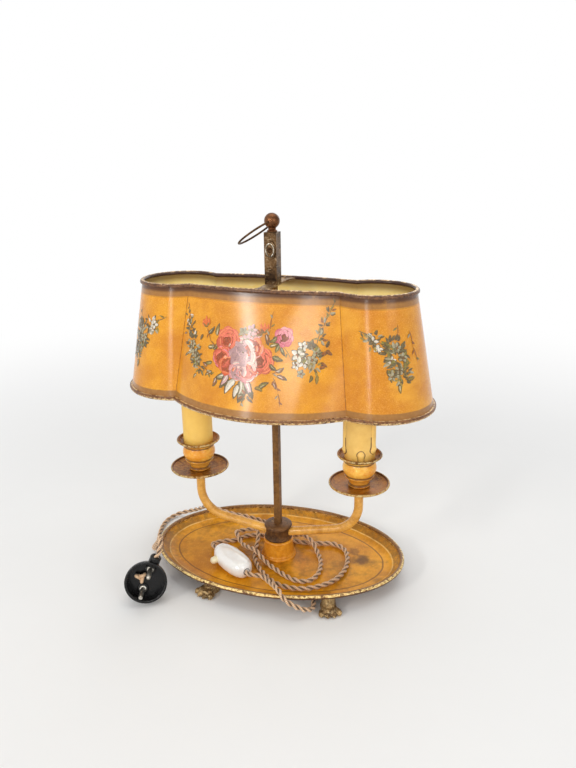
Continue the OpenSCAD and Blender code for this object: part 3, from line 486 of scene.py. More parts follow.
# half lengths and half widths of the shade's outlines: at the folds, then at the lobes' ends
LOW, TOP = (78.0, 43.5, 141.0, 72.5), (66.5, 27.0, 123.5, 34.0)
SHADE_TIN = 0.8
RING_STEPS = 36
TRAY_HALF_L, TRAY_HALF_W = 122, 80
TRAY_BORDER, TRAY_RISE, TRAY_TIN = 20, 7, 1.2
TRAY_UNDER = FLOOR_TOP - TRAY_TIN
TRAY_EDGE = TRAY_UNDER + TRAY_RISE
MERGE = 0.01


# ---------------------------------------------------------------- modelling helpers

def deselect():
    if bpy.context.mode != "OBJECT":
        bpy.ops.object.mode_set(mode="OBJECT")
    bpy.ops.object.select_all(action="DESELECT")


def pick(obj):
    deselect()
    obj.select_set(True)
    bpy.context.view_layer.objects.active = obj


def tidy(obj, angle=38):
    """Merges doubles, turns the normals outwards and shades smooth but for sharp edges."""
    pick(obj)
    bpy.ops.object.mode_set(mode="EDIT")
    bpy.ops.mesh.select_all(action="SELECT")
    bpy.ops.mesh.remove_doubles(threshold=MERGE * MM)
    bpy.ops.mesh.normals_make_consistent(inside=False)
    bpy.ops.object.mode_set(mode="OBJECT")
    bpy.ops.object.shade_smooth_by_angle(angle=math.radians(angle))
    return obj


def mesh_piece(name, verts, faces):
    """A mesh object from points in millimetres."""
    mesh = bpy.data.meshes.new(name)
    mesh.from_pydata([tuple(c * MM for c in v) for v in verts], [], faces)
    obj = bpy.data.objects.new(name, mesh)
    bpy.context.scene.collection.objects.link(obj)
    return obj


def settle(obj, finish, body, slot, *nodes):
    """Gives a finished piece its finish and its body, and hides the solids that it stands for."""
    obj.data.materials.append(finish)
    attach(obj, body)
    for node in nodes:
        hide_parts(node)
    return obj


def dress_node(node, finish, bevel):
    """A solid whose shape is right keeps it: it gets its finish and eased edges."""
    obj = NODES[node]
    obj.data.materials.clear()
    obj.data.materials.append(finish)
    if bevel:
        mod = obj.modifiers.new("eased", "BEVEL")
        mod.width, mod.segments = bevel * MM, 2
        mod.limit_method, mod.angle_limit = "ANGLE", math.radians(35)


def rounded(points, cut=0.22, rounds=2):
    """A profile with its corners cut, so that turned edges catch the light softly."""
    for _ in range(rounds):
        fresh = [points[0]]
        for a, b in zip(points, points[1:]):
            fresh.append((a[0] + (b[0] - a[0]) * cut, a[1] + (b[1] - a[1]) * cut))
            fresh.append((b[0] - (b[0] - a[0]) * cut, b[1] - (b[1] - a[1]) * cut))
        fresh.append(points[-1])
        points = fresh
    return points


def turned_piece(name, profile, at=(0, 0, 0), steps=72, angle=38):
    """Spins a profile of (radius, height) round the upright line through at."""
    deselect()
    bpy.ops.mesh.primitive_circle_add(vertices=len(profile), radius=0.01, location=(0, 0, 0))
    obj = bpy.context.object
    obj.name = obj.data.name = name
    for v, (r, z) in zip(obj.data.vertices, profile):
        v.co = mm(at[0] + r, at[1], at[2] + z)
    bpy.ops.object.mode_set(mode="EDIT")
    bpy.ops.mesh.select_all(action="SELECT")
    bpy.ops.mesh.spin(steps=steps, angle=2 * math.pi, center=mm(*at), axis=(0, 0, 1))
    bpy.ops.object.mode_set(mode="OBJECT")
    return tidy(obj, angle)


def ring_stack(name, rings, closed=True, caps=False):
    """Skins rings of points. A closed stack joins its last ring to its first."""
    n = len(rings[0])
    verts = [p for ring in rings for p in ring]
    faces = []
    spans = len(rings) if closed else len(rings) - 1
    for k in range(spans):
        a, b = k * n, (k + 1) % len(rings) * n
        faces += [(a + i, a + (i + 1) % n, b + (i + 1) % n, b + i) for i in range(n)]
    if caps:
        faces += [tuple(range(n))[::-1], tuple(range((len(rings) - 1) * n, len(rings) * n))]
    return mesh_piece(name, verts, faces)


def tube_piece(name, path, radius, sides=28, closed=False):
    """A round tube along a path; radius is a number or a function of the way along, 0 to 1."""
    pts = [Vector(p) for p in path]
    count = len(pts)
    rings, side = [], None
    for i, p in enumerate(pts):
        ahead = pts[(i + 1) % count] if closed else pts[min(i + 1, count - 1)]
        back = pts[i - 1] if closed else pts[max(i - 1, 0)]
        t = (ahead - back).normalized()
        side = t.orthogonal() if side is None else side - t * side.dot(t)
        side.normalize()
        up = t.cross(side)
        r = radius(i / (count - 1)) if callable(radius) else radius
        rings.append([p + (side * math.cos(a) + up * math.sin(a)) * r
                      for a in (2 * math.pi * j / sides for j in range(sides))])
    return ring_stack(name, rings, closed=closed, caps=not closed)


def float_layer(obj, name, values):
    layer = obj.data.attributes.new(name, "FLOAT", "POINT")
    layer.data.foreach_set("value", values)


def bumpy(p, scale, seed=0.0):
    """Smooth noise from -1 to 1 at a point in millimetres."""
    return noise.noise(Vector((p[0] * scale + seed, p[1] * scale - seed, p[2] * scale + 2 * seed)))


def oval_point(angle, inset):
    """A point on the tray's oval, moved inwards by inset."""
    c, s = math.cos(angle), math.sin(angle)
    n = Vector((TRAY_HALF_W * c, TRAY_HALF_L * s)).normalized()
    return (TRAY_HALF_L * c - inset * n.x, TRAY_HALF_W * s - inset * n.y)


def lobe_circle(half_chord, height):
    """Radius of the arc over a chord."""
    return (half_chord ** 2 + height ** 2) / (2 * height)


def lobes(level, grow=0.0):
    """Radius, centre and half angle of the front and side lobes at a level, grown outwards."""
    front, side = lobe_circle(level[0], level[3] - level[1]), lobe_circle(level[1], level[2] - level[0])
    fc, sc = level[3] - front, level[2] - side
    fr, sr, k = front + grow, side + grow, math.hypot(sc, fc)
    a = (fr ** 2 - sr ** 2 + k * k) / (2 * k)
    h = math.sqrt(fr ** 2 - a * a)
    ex, ey = sc / k, -fc / k
    x, y = a * ex - h * ey, fc + a * ey + h * ex
    return (fr, fc, math.atan2(x, y - fc)), (sr, sc, math.atan2(y, x - sc))


def shade_ring(level, grow, z, front_steps=RING_STEPS, side_steps=RING_STEPS):
    """Points round the four-lobed outline, starting in the middle of the right lobe."""
    (fr, fc, fa), (sr, sc, sa) = lobes(level, grow)
    quarter = [(sc + sr * math.cos(sa * i / side_steps), sr * math.sin(sa * i / side_steps))
               for i in range(side_steps)]
    quarter += [(fr * math.sin(fa * (1 - i / front_steps)), fc + fr * math.cos(fa * (1 - i / front_steps)))
                for i in range(front_steps)]
    half = quarter + [(0, level[3] + grow)] + [(-x, y) for x, y in quarter[:0:-1]]
    full = half + [(-level[2] - grow, 0)] + [(x, -y) for x, y in half[:0:-1]]
    return [SHADE_TURN @ Vector((x, y, z)) for x, y in full]


def between(p, q, share):
    """The point that lies the given share of the way from p to q."""
    return p + (q - p) * share


# ---------------------------------------------------------------- finishes

def worn_paint(name, fresh, deep, pale, bare, scale, gloss, coat, chips, brush=(1, 1, 5)):
    """Old varnished paint: brushed tone changes, rubbed pale places, brown wear and small chips."""
    mat, g, shader = new_material(name, coat=coat, coat_roughness=0.19,
                                  **{"Coat IOR": 1.40, "Specular IOR Level": 0.1})
    where = g.coords()
    tone = g.use(MOTTLE, Vector=where, Scale=scale * 2)["Value"]
    hair = g.noise(g.stretch(where, brush), scale * 22, 5.0, 0.6)
    rub = g.use(MOTTLE, Vector=g.stretch(where, (1, 1, 1.6)), Scale=scale * 4)["Value"]
    chip = g.use(FLECKS, Vector=where, Scale=scale * 26, Cover=chips)["Mask"]
    speck = g.use(FLECKS, Vector=where, Scale=scale * 70, Cover=chips * 0.8)["Mask"]
    colour = g.mix(g.level(tone, 0.34, 0.66), deep, fresh)
    colour = g.mix(g.level(hair, 0.50, 0.78, 0.0, 0.4), colour, pale)
    colour = g.mix(g.level(rub, 0.55, 0.75, 0.0, 0.55), colour, deep)
    colour = g.mix(g.most(g.times(chip, 0.85), g.times(speck, 0.6)), colour, bare)
    g.link(colour, shader["Base Color"])
    g.link(g.level(g.plus(hair, rub), 0.7, 1.4, gloss, gloss + 0.16), shader["Roughness"])
    height = g.minus(g.plus(g.times(hair, 0.5), g.times(tone, 0.5)), chip)
    g.link(g.bump(height, 0.00012, 0.7), shader["Normal"])
    return mat, g, shader, colour


def old_metal(name, face, dark, bright, scale, rough, worn, metallic=0.9, pits=0.3):
    """Cast or drawn metal with patina in its hollows, rubbed bright places and scratches."""
    mat, g, shader = new_material(name, metallic=metallic)
    where = g.coords()
    patina = g.use(MOTTLE, Vector=where, Scale=scale * 3)["Value"]
    fine = g.use(MOTTLE, Vector=where, Scale=scale * 24)["Value"]
    spots = g.use(FLECKS, Vector=where, Scale=scale * 30, Cover=pits)["Mask"]
    lines = g.use(SCRATCHES, Vector=where, Scale=scale * 5, Cover=worn)["Mask"]
    colour = g.mix(g.level(patina, 0.36, 0.62), dark, face)
    rubbed = g.level(g.plus(g.times(fine, 0.6), g.times(patina, 0.4)),
                     0.62 - worn * 0.25, 0.80 - worn * 0.25)
    colour = g.mix(g.times(rubbed, 0.75), colour, bright)
    colour = g.mix(g.times(lines, 0.5), colour, bright)
    colour = g.mix(g.times(spots, 0.8), colour, dark)
    g.link(colour, shader["Base Color"])
    g.link(g.level(fine, 0.3, 0.7, rough, rough + 0.25), shader["Roughness"])
    height = g.minus(fine, g.plus(g.times(spots, 0.8), g.times(lines, 0.3)))
    g.link(g.bump(height, 0.00014, 0.8), shader["Normal"])
    return mat


def smooth_finish(name, colour, shade, scale=20.0, rough=0.3, coat=0.0, bump=0.00004, dirt_and_shade=0.2, **plain):
    """Glaze, wax, horn-like mouldings and rubber: soft tone changes, faint dirt and dull spots."""
    mat, g, shader = new_material(name, coat=coat, **plain)
    where = g.coords()
    tone = g.use(MOTTLE, Vector=where, Scale=scale)["Value"]
    grime_and_shade = g.use(FLECKS, Vector=where, Scale=scale * 30, Cover=dirt_and_shade)["Mask"]
    base = g.mix(g.level(tone, 0.3, 0.7), shade, colour)
    g.link(g.mix(g.times(grime_and_shade, 0.5), base, shade), shader["Base Color"])
    g.link(g.level(tone, 0.3, 0.7, rough, rough + 0.12), shader["Roughness"])
    g.link(g.bump(g.noise(where, scale * 14, 4.0), bump, 0.6), shader["Normal"])
    return mat


def rim_paint(name, crest, dark, mid, kept, gilt=(0.22, 0.80), scale=26.0):
    """Wired edge in old gilding over brown. The layer rim runs 0 at the wall to 1 on the far side.
    kept is the share of the gilding that is left, gilt the part of the edge that had it."""
    mat, g, shader = new_material(name, metallic=0.25, coat=0.35, coat_roughness=0.2,
                                  **{"Specular IOR Level": 0.35})
    where = g.coords()
    across = g.attribute("rim")
    torn = g.use(MOTTLE, Vector=where, Scale=scale * 3)["Value"]
    fine = g.use(MOTTLE, Vector=where, Scale=scale * 18)["Value"]
    edge = g.plus(across, g.times(g.minus(torn, 0.5), 0.7))
    gilded = g.times(g.level(edge, gilt[0], gilt[0] + 0.08), g.level(edge, gilt[1] + 0.06, gilt[1] - 0.06))
    left = g.level(g.plus(g.times(torn, 0.55), g.times(fine, 0.45)),
                   0.64 - kept * 0.22, 0.67 - kept * 0.22)
    # painted sheen: the brown under the gilding lightens towards the bead's far side
    sheen = g.level(across, 0.25, 0.5, 0.0, 0.6)
    colour = g.mix(g.level(fine, 0.35, 0.65), dark, g.mix(sheen, dark, mid))
    colour = g.mix(g.times(gilded, left), colour, g.mix(g.level(fine, 0.4, 0.6), mid, crest))
    g.link(colour, shader["Base Color"])
    g.link(g.level(fine, 0.3, 0.7, 0.3, 0.55), shader["Roughness"])
    g.link(g.bump(g.plus(torn, g.times(left, 0.5)), 0.00025, 0.8), shader["Normal"])
    return mat


def make_shade_paint():
    """Ochre outside of the shade: crazed, brushed and specked, dark along the folds, with
    brown-bronze bands under the top edge and over the low one."""
    mat, g, shader, colour = worn_paint(
        "shade_ochre", rgb(230, 156, 26), rgb(202, 120, 8), rgb(252, 196, 80), rgb(104, 58, 20),
        scale=8.0, gloss=0.34, coat=0.9, chips=0.1, brush=(3, 3, 22))
    where = g.coords()
    weft = g.noise(g.stretch(where, (1, 1, 4)), 760.0, 3.0, 0.6)
    warp = g.noise(g.stretch(where, (4, 4, 1)), 700.0, 3.0, 0.6)
    cloth = g.times(g.plus(weft, warp), 0.5)
    colour = g.mix(g.level(cloth, 0.50, 0.64, 0.0, 0.4), colour, rgb(255, 204, 108))
    colour = g.mix(g.level(cloth, 0.47, 0.36, 0.0, 0.4), colour, rgb(182, 104, 20))
    cloud = g.noise(g.stretch(where, (1, 1, 1.6)), 17.0, 3.0, 0.5)
    colour = g.mix(g.level(cloud, 0.52, 0.72, 0.0, 0.5), colour, rgb(196, 114, 14))
    colour = g.mix(g.level(cloud, 0.46, 0.32, 0.0, 0.45), colour, rgb(250, 184, 62))
    dots = g.use(FLECKS, Vector=where, Scale=420.0, Cover=0.22)["Mask"]
    colour = g.mix(g.times(dots, 0.7), colour, rgb(96, 52, 18))
    fold = g.plus(g.attribute("fold"), g.sway(0.5, where, 300.0))
    colour = g.mix(g.level(fold, 0.62, 1.05, 0.0, 0.7), colour, rgb(122, 66, 18))
    up = g.node("ShaderNodeSeparateXYZ", {"Vector": where}).outputs[2]
    sway = g.sway(0.0016, where, 40.0, 3.0)
    up = g.plus(up, sway)
    top_band, low_band, edge = 0.2685, 0.1861, BAR_Z * MM
    band = g.most(g.level(up, top_band - 0.0003, top_band + 0.0003),
                  g.level(up, low_band + 0.0005, low_band - 0.0005))
    line = g.times(g.level(up, top_band - 0.0013, top_band - 0.0009),
                   g.level(up, top_band + 0.0005, top_band - 0.0001))
    bronze = g.mix(g.noise(where, 300.0, 4.0), rgb(138, 90, 36), rgb(182, 128, 62))
    bronze = g.mix(g.level(up, edge - 0.0018, edge - 0.0048), rgb(92, 54, 22), bronze)
    worn = g.level(g.use(MOTTLE, Vector=where, Scale=60.0)["Value"], 0.56, 0.72, 1.0, 0.55)
    colour = g.mix(g.times(line, 0.35), colour, rgb(140, 82, 24))
    g.link(g.mix(g.times(band, worn), colour, bronze), shader["Base Color"])
    tone = g.plus(cloth, g.times(cloud, 0.6))
    g.link(g.bump(g.minus(tone, g.times(dots, 0.3)), 0.00042, 0.9), shader["Normal"])
    return mat


def make_shade_lining():
    """Cream-yellow inside of the shade, darker brown just under its top edge."""
    mat, g, shader, colour = worn_paint(
        "shade_lining", rgb(255, 240, 176), rgb(252, 224, 140), rgb(255, 248, 208), rgb(150, 100, 44),
        scale=7.0, gloss=0.45, coat=0.1, chips=0.14)
    up = g.node("ShaderNodeSeparateXYZ", {"Vector": g.coords()}).outputs[2]
    # darker brown just under the top edge
    top_darkening = g.times(g.level(up, BAR_Z * MM - 0.010, BAR_Z * MM - 0.0025), 0.8)
    g.link(g.mix(top_darkening, colour, rgb(104, 66, 28)), shader["Base Color"])
    return mat


def make_tray_paint():
    """Ochre tray: olive-brown band inside the edge between thin lines, a worn and stained floor, and painted
    shade round the hub's foot and beside the right light.
    The layer inset is the distance from the tray's edge in millimetres."""
    mat, g, shader, colour = worn_paint(
        "tray_ochre", rgb(236, 164, 34), rgb(192, 120, 14), rgb(252, 200, 84), rgb(84, 46, 12),
        scale=9.0, gloss=0.38, coat=0.22, chips=0.24, brush=(6, 1, 1))
    shader["Specular IOR Level"].default_value = 0.12
    where = g.coords()
    inset = g.attribute("inset")
    sway = g.sway(1.6, where, 60.0, 3.0)
    edge = g.plus(inset, sway)

    def line(at, wide):
        off = g.math("ABSOLUTE", g.minus(edge, at))
        return g.level(off, wide, wide * 0.45)
    rubbed = g.level(g.use(MOTTLE, Vector=where, Scale=90.0)["Value"], 0.42, 0.62, 1.0, 0.25)
    olive = g.mix(g.noise(where, 260.0, 4.0), rgb(104, 72, 28), rgb(150, 110, 48))
    colour = g.mix(g.times(g.times(g.level(edge, 10.4, 9.6), rubbed), 0.75), colour, olive)
    colour = g.mix(g.times(line(10.6, 0.8), g.times(rubbed, 0.65)), colour, rgb(244, 208, 128))
    colour = g.mix(g.times(line(19.6, 0.9), 0.7), colour, rgb(110, 64, 22))
    stain = g.use(MOTTLE, Vector=where, Scale=24.0)["Value"]
    colour = g.mix(g.times(g.level(stain, 0.50, 0.66), 0.55), colour, rgb(126, 80, 16))
    # painted shade: dark patches beside the right light's arm and round the hub's foot
    spots = [((0.083, 0.006), 0.011, 0.7), ((0.072, 0.020), 0.007, 0.45), ((-0.002, 0.002), 0.036, 0.5)]
    flat = g.node("ShaderNodeMapping", {"Vector": where, "Scale": (1, 1, 0)}).outputs[0]
    for (x, y), reach, depth in spots:
        off = g.node("ShaderNodeVectorMath", {0: flat, 1: (x, y, 0)}, operation="DISTANCE").outputs["Value"]
        ragged = g.plus(off, g.sway(reach * 1.6, where, 130.0))
        colour = g.mix(g.level(ragged, reach, reach * 0.35, 0.0, depth), colour, rgb(76, 42, 12))
    g.link(colour, shader["Base Color"])
    return mat


def cup_finish():
    """Ochre cups with brown left in the grooves and over the shoulders."""
    mat, g, shader, colour = worn_paint(
        "cup_ochre", rgb(254, 204, 92), rgb(230, 146, 40), rgb(255, 230, 150), rgb(110, 50, 14),
        scale=22.0, gloss=0.26, coat=0.6, chips=0.34)
    high = g.attribute("high")
    sway = g.plus(high, g.sway(0.06, g.coords(), 180.0))
    dark = None
    for low, up in ((0.08, 0.15), (0.41, 0.46), (0.90, 0.95)):
        band = g.times(g.level(sway, low - 0.02, low + 0.01), g.level(sway, up + 0.02, up - 0.01))
        dark = band if dark is None else g.most(dark, band)
    g.link(g.mix(g.times(dark, 0.8), colour, rgb(78, 40, 16)), shader["Base Color"])
    return mat


def pan_finish():
    """Dark greenish-brown brass, its rolled rims chipped pale."""
    mat, g, shader = new_material("pan_bronze", metallic=0.1, coat=0.15, coat_roughness=0.25,
                                  **{"Specular IOR Level": 0.15})
    where = g.coords()
    broad = g.use(MOTTLE, Vector=where, Scale=55.0)["Value"]
    fine = g.use(MOTTLE, Vector=where, Scale=420.0)["Value"]
    colour = g.mix(g.level(broad, 0.36, 0.62), rgb(104, 60, 12), rgb(176, 112, 30))
    colour = g.mix(g.times(g.level(fine, 0.48, 0.62), 0.6), colour, rgb(196, 150, 74))
    edge = g.times(g.level(g.attribute("edge"), 0.84, 0.93), g.level(fine, 0.44, 0.54))
    colour = g.mix(g.times(edge, 0.85), colour, rgb(212, 188, 132))
    chips = g.use(FLECKS, Vector=where, Scale=420.0, Cover=0.35)["Mask"]
    lip = g.times(g.level(g.attribute("edge"), 0.72, 0.80), g.level(g.attribute("edge"), 0.90, 0.84))
    colour = g.mix(g.times(lip, 0.7), colour, rgb(70, 34, 14))
    g.link(g.mix(chips, colour, rgb(44, 26, 12)), shader["Base Color"])
    g.link(g.level(fine, 0.3, 0.7, 0.3, 0.5), shader["Roughness"])
    g.link(g.bump(g.minus(fine, chips), 0.00016, 0.8), shader["Normal"])
    return mat


def wax_glow(weight):
    """Light goes a little way into wax."""
    return {"Subsurface Weight": weight, "Subsurface Radius": (0.004, 0.003, 0.001), "Subsurface Scale": 0.5}


def wax_with_runs():
    """Cream wax whose runs are outlined in dark brown: grime with painted shade along their borders, which a
    float layer marks.
    """
    mat = smooth_finish("candle_run", rgb(246, 204, 114), rgb(224, 172, 78), 18.0, 0.34,
                        bump=0.00012, dirt_and_shade=0.2, **wax_glow(0.1))
    g = Graph(mat.node_tree)
    shader = next(n for n in g.tree.nodes if n.type == "BSDF_PRINCIPLED").inputs
    # grime with painted shade: dark brown along the borders of the runs
    ragged = g.plus(g.attribute("grime_and_shade"), g.sway(0.5, g.coords(), 260.0))
    below = shader["Base Color"].links[0].from_socket
    g.link(g.mix(g.level(ragged, 0.35, 0.75, 0.0, 0.9), below, rgb(74, 34, 12)), shader["Base Color"])
    return mat


# ---------------------------------------------------------------- tray and feet

def build_tray(paint, under):
    """Dished tray: one closed skin with rings close together on its rising border."""
    count, steps, run = 176, 10, TRAY_BORDER - 2.8
    radius = lobe_circle(run, TRAY_RISE)
    inner = radius - TRAY_TIN
    turns = [math.asin(run / radius) * k / steps for k in range(steps + 1)]
    outside = [(TRAY_BORDER - radius * math.sin(a), TRAY_UNDER + radius * (1 - math.cos(a))) for a in turns]
    inside = [(TRAY_BORDER - inner * math.sin(a), TRAY_UNDER + radius - inner * math.cos(a))
              for a in turns[::-1]]
    floor = (0.93, 0.84, 0.72, 0.6, 0.48, 0.36, 0.24, 0.12, 0.03)
    rings, insets = [], []

    def add(inset, z, share=1.0, wave=0.0):
        ring = []
        for i in range(count):
            x, y = oval_point(2 * math.pi * i / count, inset)
            dent = wave * bumpy((x * share, y * share, 0), 0.03)
            ring.append((x * share, y * share, min(z, TRAY_EDGE) + dent))
        rings.append(ring)
        insets.extend([inset + (1 - share) * 60] * count)
    for share in floor[::-1]:
        add(TRAY_BORDER, TRAY_UNDER, share)
    for inset, z in outside:
        add(inset, z)
    for inset, z in inside:
        add(inset, z)
    for share in floor:
        add(TRAY_BORDER, FLOOR_TOP, share, wave=0.16)
    tray = ring_stack("tray_skin", rings, closed=False, caps=True)
    float_layer(tray, "inset", insets)
    tidy(tray, 50)
    settle(tray, paint, "base", "ochre_tin", "tray")
    tray.data.materials.append(under)
    for p in tray.data.polygons:
        if p.normal.z < -0.2:
            p.material_index = 1


def build_tray_rim(paint):
    """Rolled edge with small hand-made dents."""
    z, r, count, steps = TRAY_EDGE + 1.1, 2.2, 240, 20
    rings, marks = [], []
    for k in range(steps):
        a = 2 * math.pi * k / steps
        ring = []
        for i in range(count):
            t = 2 * math.pi * i / count
            x, y = oval_point(t, 0)
            swell = 1 - 0.05 * (1 + bumpy((x, y, 7 * k), 0.22))
            x, y = oval_point(t, r - r * swell * math.cos(a))
            ring.append((x, y, z + r * swell * math.sin(a)))
        rings.append(ring)
        marks.extend([0.5 - 0.5 * math.cos(a + 0.9)] * count)
    rim = ring_stack("tray_rolled_edge", rings)
    float_layer(rim, "rim", marks)
    tidy(rim, 60)
    settle(rim, paint, "base", "gilt_edge", "tray_rim")


def build_feet(gilt):
    """Cast paws: the solid's form remeshed, its toes parted and furred with fine grooves."""
    for name in ("foot_front_left", "foot_front_right", "foot_back_left", "foot_back_right"):
        paw = bpy.data.objects.new(name + "_cast", NODES[name].data.copy())
        bpy.context.scene.collection.objects.link(paw)
        pick(paw)
        mod = paw.modifiers.new("skin", "REMESH")
        mod.mode, mod.voxel_size, mod.use_smooth_shade = "VOXEL", 0.42 * MM, True
        bpy.ops.object.modifier_apply(modifier=mod.name)
        mod = paw.modifiers.new("ease", "SMOOTH")
        mod.factor, mod.iterations = 0.5, 4
        bpy.ops.object.modifier_apply(modifier=mod.name)
        low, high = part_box(name)
        mid = [(low[k] + high[k]) / 2 / MM for k in range(3)]
        for v in paw.data.vertices:
            p = v.co / MM
            lock = math.sin(1.9 * math.hypot(p.x - mid[0], p.y - mid[1]) + 2.5 * bumpy(p, 0.3))
            depth = 0.10 * (lock - 1) * (p.z > 4) - 0.12 * (1 + bumpy(p, 0.9, 3.0))
            v.co = (p + v.normal * depth) * MM
            v.co.z = max(v.co.z, 0.0)
        paw.data.materials.clear()
        settle(paw, gilt, "base", "gilt_foot", name)


# ---------------------------------------------------------------- hub, stem, finial

def build_hub(paint, bronze):
    """Painted drum on the tray and, over it, the dark collar that holds the arms."""
    r = 15.5
    hub = turned_piece("hub_drum", [(0, 0), *rounded([
        (r + 1.5, 0), (r + 1.5, 1.2), (r + 0.4, 2.0), (r + 0.7, 3.0), (r - 0.2, 3.6), (r - 1.0, HUB_H * 0.5),
        (r - 1.4, HUB_H - 2.4), (r - 0.9, HUB_H - 1.7), (r - 1.5, HUB_H - 0.5), (r - 2.4, HUB_H)]),
        (0, HUB_H)], (0, 0, FLOOR_TOP))
    settle(hub, paint, "base", "ochre_paint", "hub")
    r = 13.5
    collar = turned_piece("arm_collar", [(0, 0), *rounded([
        (r - 1, 0), (r, 0.8), (r, 2.2), (r - 1.4, 3.0), (r - 0.9, 3.7), (r - 1.6, 4.2), (r - 1.6, 11.4),
        (r - 0.9, 12.0), (r - 1.4, 12.7), (r, 13.4), (r - 0.4, 15), (r - 3, COLLAR_H)]),
        (0, COLLAR_H)], (0, 0, COLLAR_Z))
    settle(collar, bronze, "base", "bronze", "collar")


def build_finial(brass, ring_metal):
    """Ball on a small foot, and the carrying ring that hangs through it and rests on the sleeve."""
    r = 6.6
    ball = [(r * math.cos(a), BALL_Z - STEM_TOP + r * math.sin(a))
            for a in (math.radians(-58 + 148 * k / 22) for k in range(22))]
    knob = turned_piece("ball_finial", [
        (0, 0), *rounded([(4.4, 0), (4.5, 0.7), (3.7, 1.2), (3.2, 1.8)], rounds=1),
        *ball, (0, BALL_Z - STEM_TOP + r)], (0, 0, STEM_TOP), 56)
    settle(knob, brass, "base", "brass", "finial")
    lean, reach = math.radians(56), 17.5
    turn = SHADE_TURN @ Matrix.Translation((0, 0, BALL_Z)) @ Matrix.Rotation(lean, 4, "Y")
    path = [turn @ Vector((0, reach * math.sin(a), reach * math.cos(a) - reach))
            for a in (2 * math.pi * i / 120 for i in range(120))]
    ring = tube_piece("ring_wire", path, 0.86, 14, closed=True)
    tidy(ring, 80)
    settle(ring, ring_metal, "ring", "brass", "carry_ring")


# ---------------------------------------------------------------- arms and lights

def build_arms(paint, bronze, cup_paint):
    """Two tubes that rise from the collar and turn up, each with its socket, pan, cup and bobeche."""
    rise, bend = math.radians(11), 28.0
    run_x = LIGHT_X - bend * (1 - math.sin(rise))
    run_z = ARM_Z + (run_x - 13.5) * math.tan(rise)
    bend_z = run_z + bend * math.cos(rise)
    for side, word in ((-1, "left"), (1, "right")):
        path = [(5.4 + (run_x - 5.4) * k / 16, ARM_Z + (5.4 + (run_x - 5.4) * k / 16 - 13.5) * math.tan(rise))
                for k in range(16)]
        path += [(LIGHT_X - bend + bend * math.cos(a), bend_z + bend * math.sin(a))
                 for a in (rise - math.pi / 2 + (math.pi / 2 - rise) * k / 20 for k in range(21))]
        path += [(LIGHT_X, bend_z + (PAN_Z - bend_z) * k / 8) for k in range(1, 9)]
        arm = tube_piece(f"arm_{word}_tube", [(side * x, 0, z) for x, z in path], 4.22, 30)
        for v in arm.data.vertices:
            p = v.co / MM
            v.co = (p + Vector((0, 0.1, 0.1)) * bumpy(p, 0.12, side)) * MM
        tidy(arm, 50)
        settle(arm, paint, "base", "bronze", f"arm_{word}")
        ring = turned_piece(f"arm_{word}_socket", [(0, 0), *rounded([
            (4.4, 0), (5.4, 0.4), (5.0, 1.2), (6.7, 1.7), (6.7, 2.6), (6.2, 3.0)]), (0, 3.0)],
            (side * LIGHT_X, 0, PAN_Z - 3), 48)
        settle(ring, bronze, "base", "bronze")
        build_pan(f"drip_pan_{word}", side, PAN_Z, 56, 17.36, bronze)
        build_cup(f"cup_{word}", side, cup_paint)
        build_pan(f"bobeche_{word}", side, BOB_Z, 41, 14.9, bronze)


def build_pan(node, side, z, across, flat, bronze):
    """Spun pan with a rolled rim; its wall waves a little, as hand-spun sheet does."""
    r = across / 2
    w = r - flat
    bead = [(r - 1.1 + 1.1 * math.cos(a), 4.1 + 1.1 * math.sin(a))
            for a in (math.radians(-110 + 290 * k / 12) for k in range(13))]
    under = rounded([(flat, 0), (flat + w * 0.6, 1.53), (r - 1.5, 3.1)], rounds=2)
    over = rounded([(r - 2.2, 3.7), (flat + w * 0.6 - 1, 2.4), (flat - 0.3, 1.3), (flat - 2, 1.2)], rounds=2)
    pan = turned_piece(node + "_spun", [(0, 0), (flat - 3, 0), *under, *bead, *over, (0, 1.2)],
                       (side * LIGHT_X, 0, z), 96, 50)
    rims = []
    for v in pan.data.vertices:
        p = v.co / MM
        reach = math.hypot(p.x - side * LIGHT_X, p.y)
        share = max(0.0, (reach - flat) / w)
        v.co.z += 0.28 * share * min(0.0, bumpy(p, 0.06, across) - 0.3) * MM
        rims.append(share)
    float_layer(pan, "edge", rims)
    settle(pan, bronze, "base", "bronze", node)


def build_cup(node, side, paint):
    """Turned cup; its outline is given in shares of its width and height."""
    d, h = 31.0, BOB_Z - CUP_Z
    shape = [(0.27, 0), (0.33, 0.05), (0.325, 0.09), (0.29, 0.12), (0.30, 0.17), (0.34, 0.26), (0.40, 0.35),
             (0.435, 0.385), (0.43, 0.42), (0.405, 0.445), (0.44, 0.49), (0.485, 0.58), (0.5, 0.66),
             (0.495, 0.76), (0.465, 0.87), (0.43, 0.93), (0.46, 0.965), (0.46, 1.0)]
    points = rounded([(a * d, b * h) for a, b in shape], rounds=1)
    cup = turned_piece(node + "_turned", [(0, 0), *points, (0, h)], (side * LIGHT_X, 0, CUP_Z), 80, 45)
    float_layer(cup, "high", [(v.co.z / MM - CUP_Z) / h for v in cup.data.vertices])
    settle(cup, paint, "base", "ochre_paint", node)


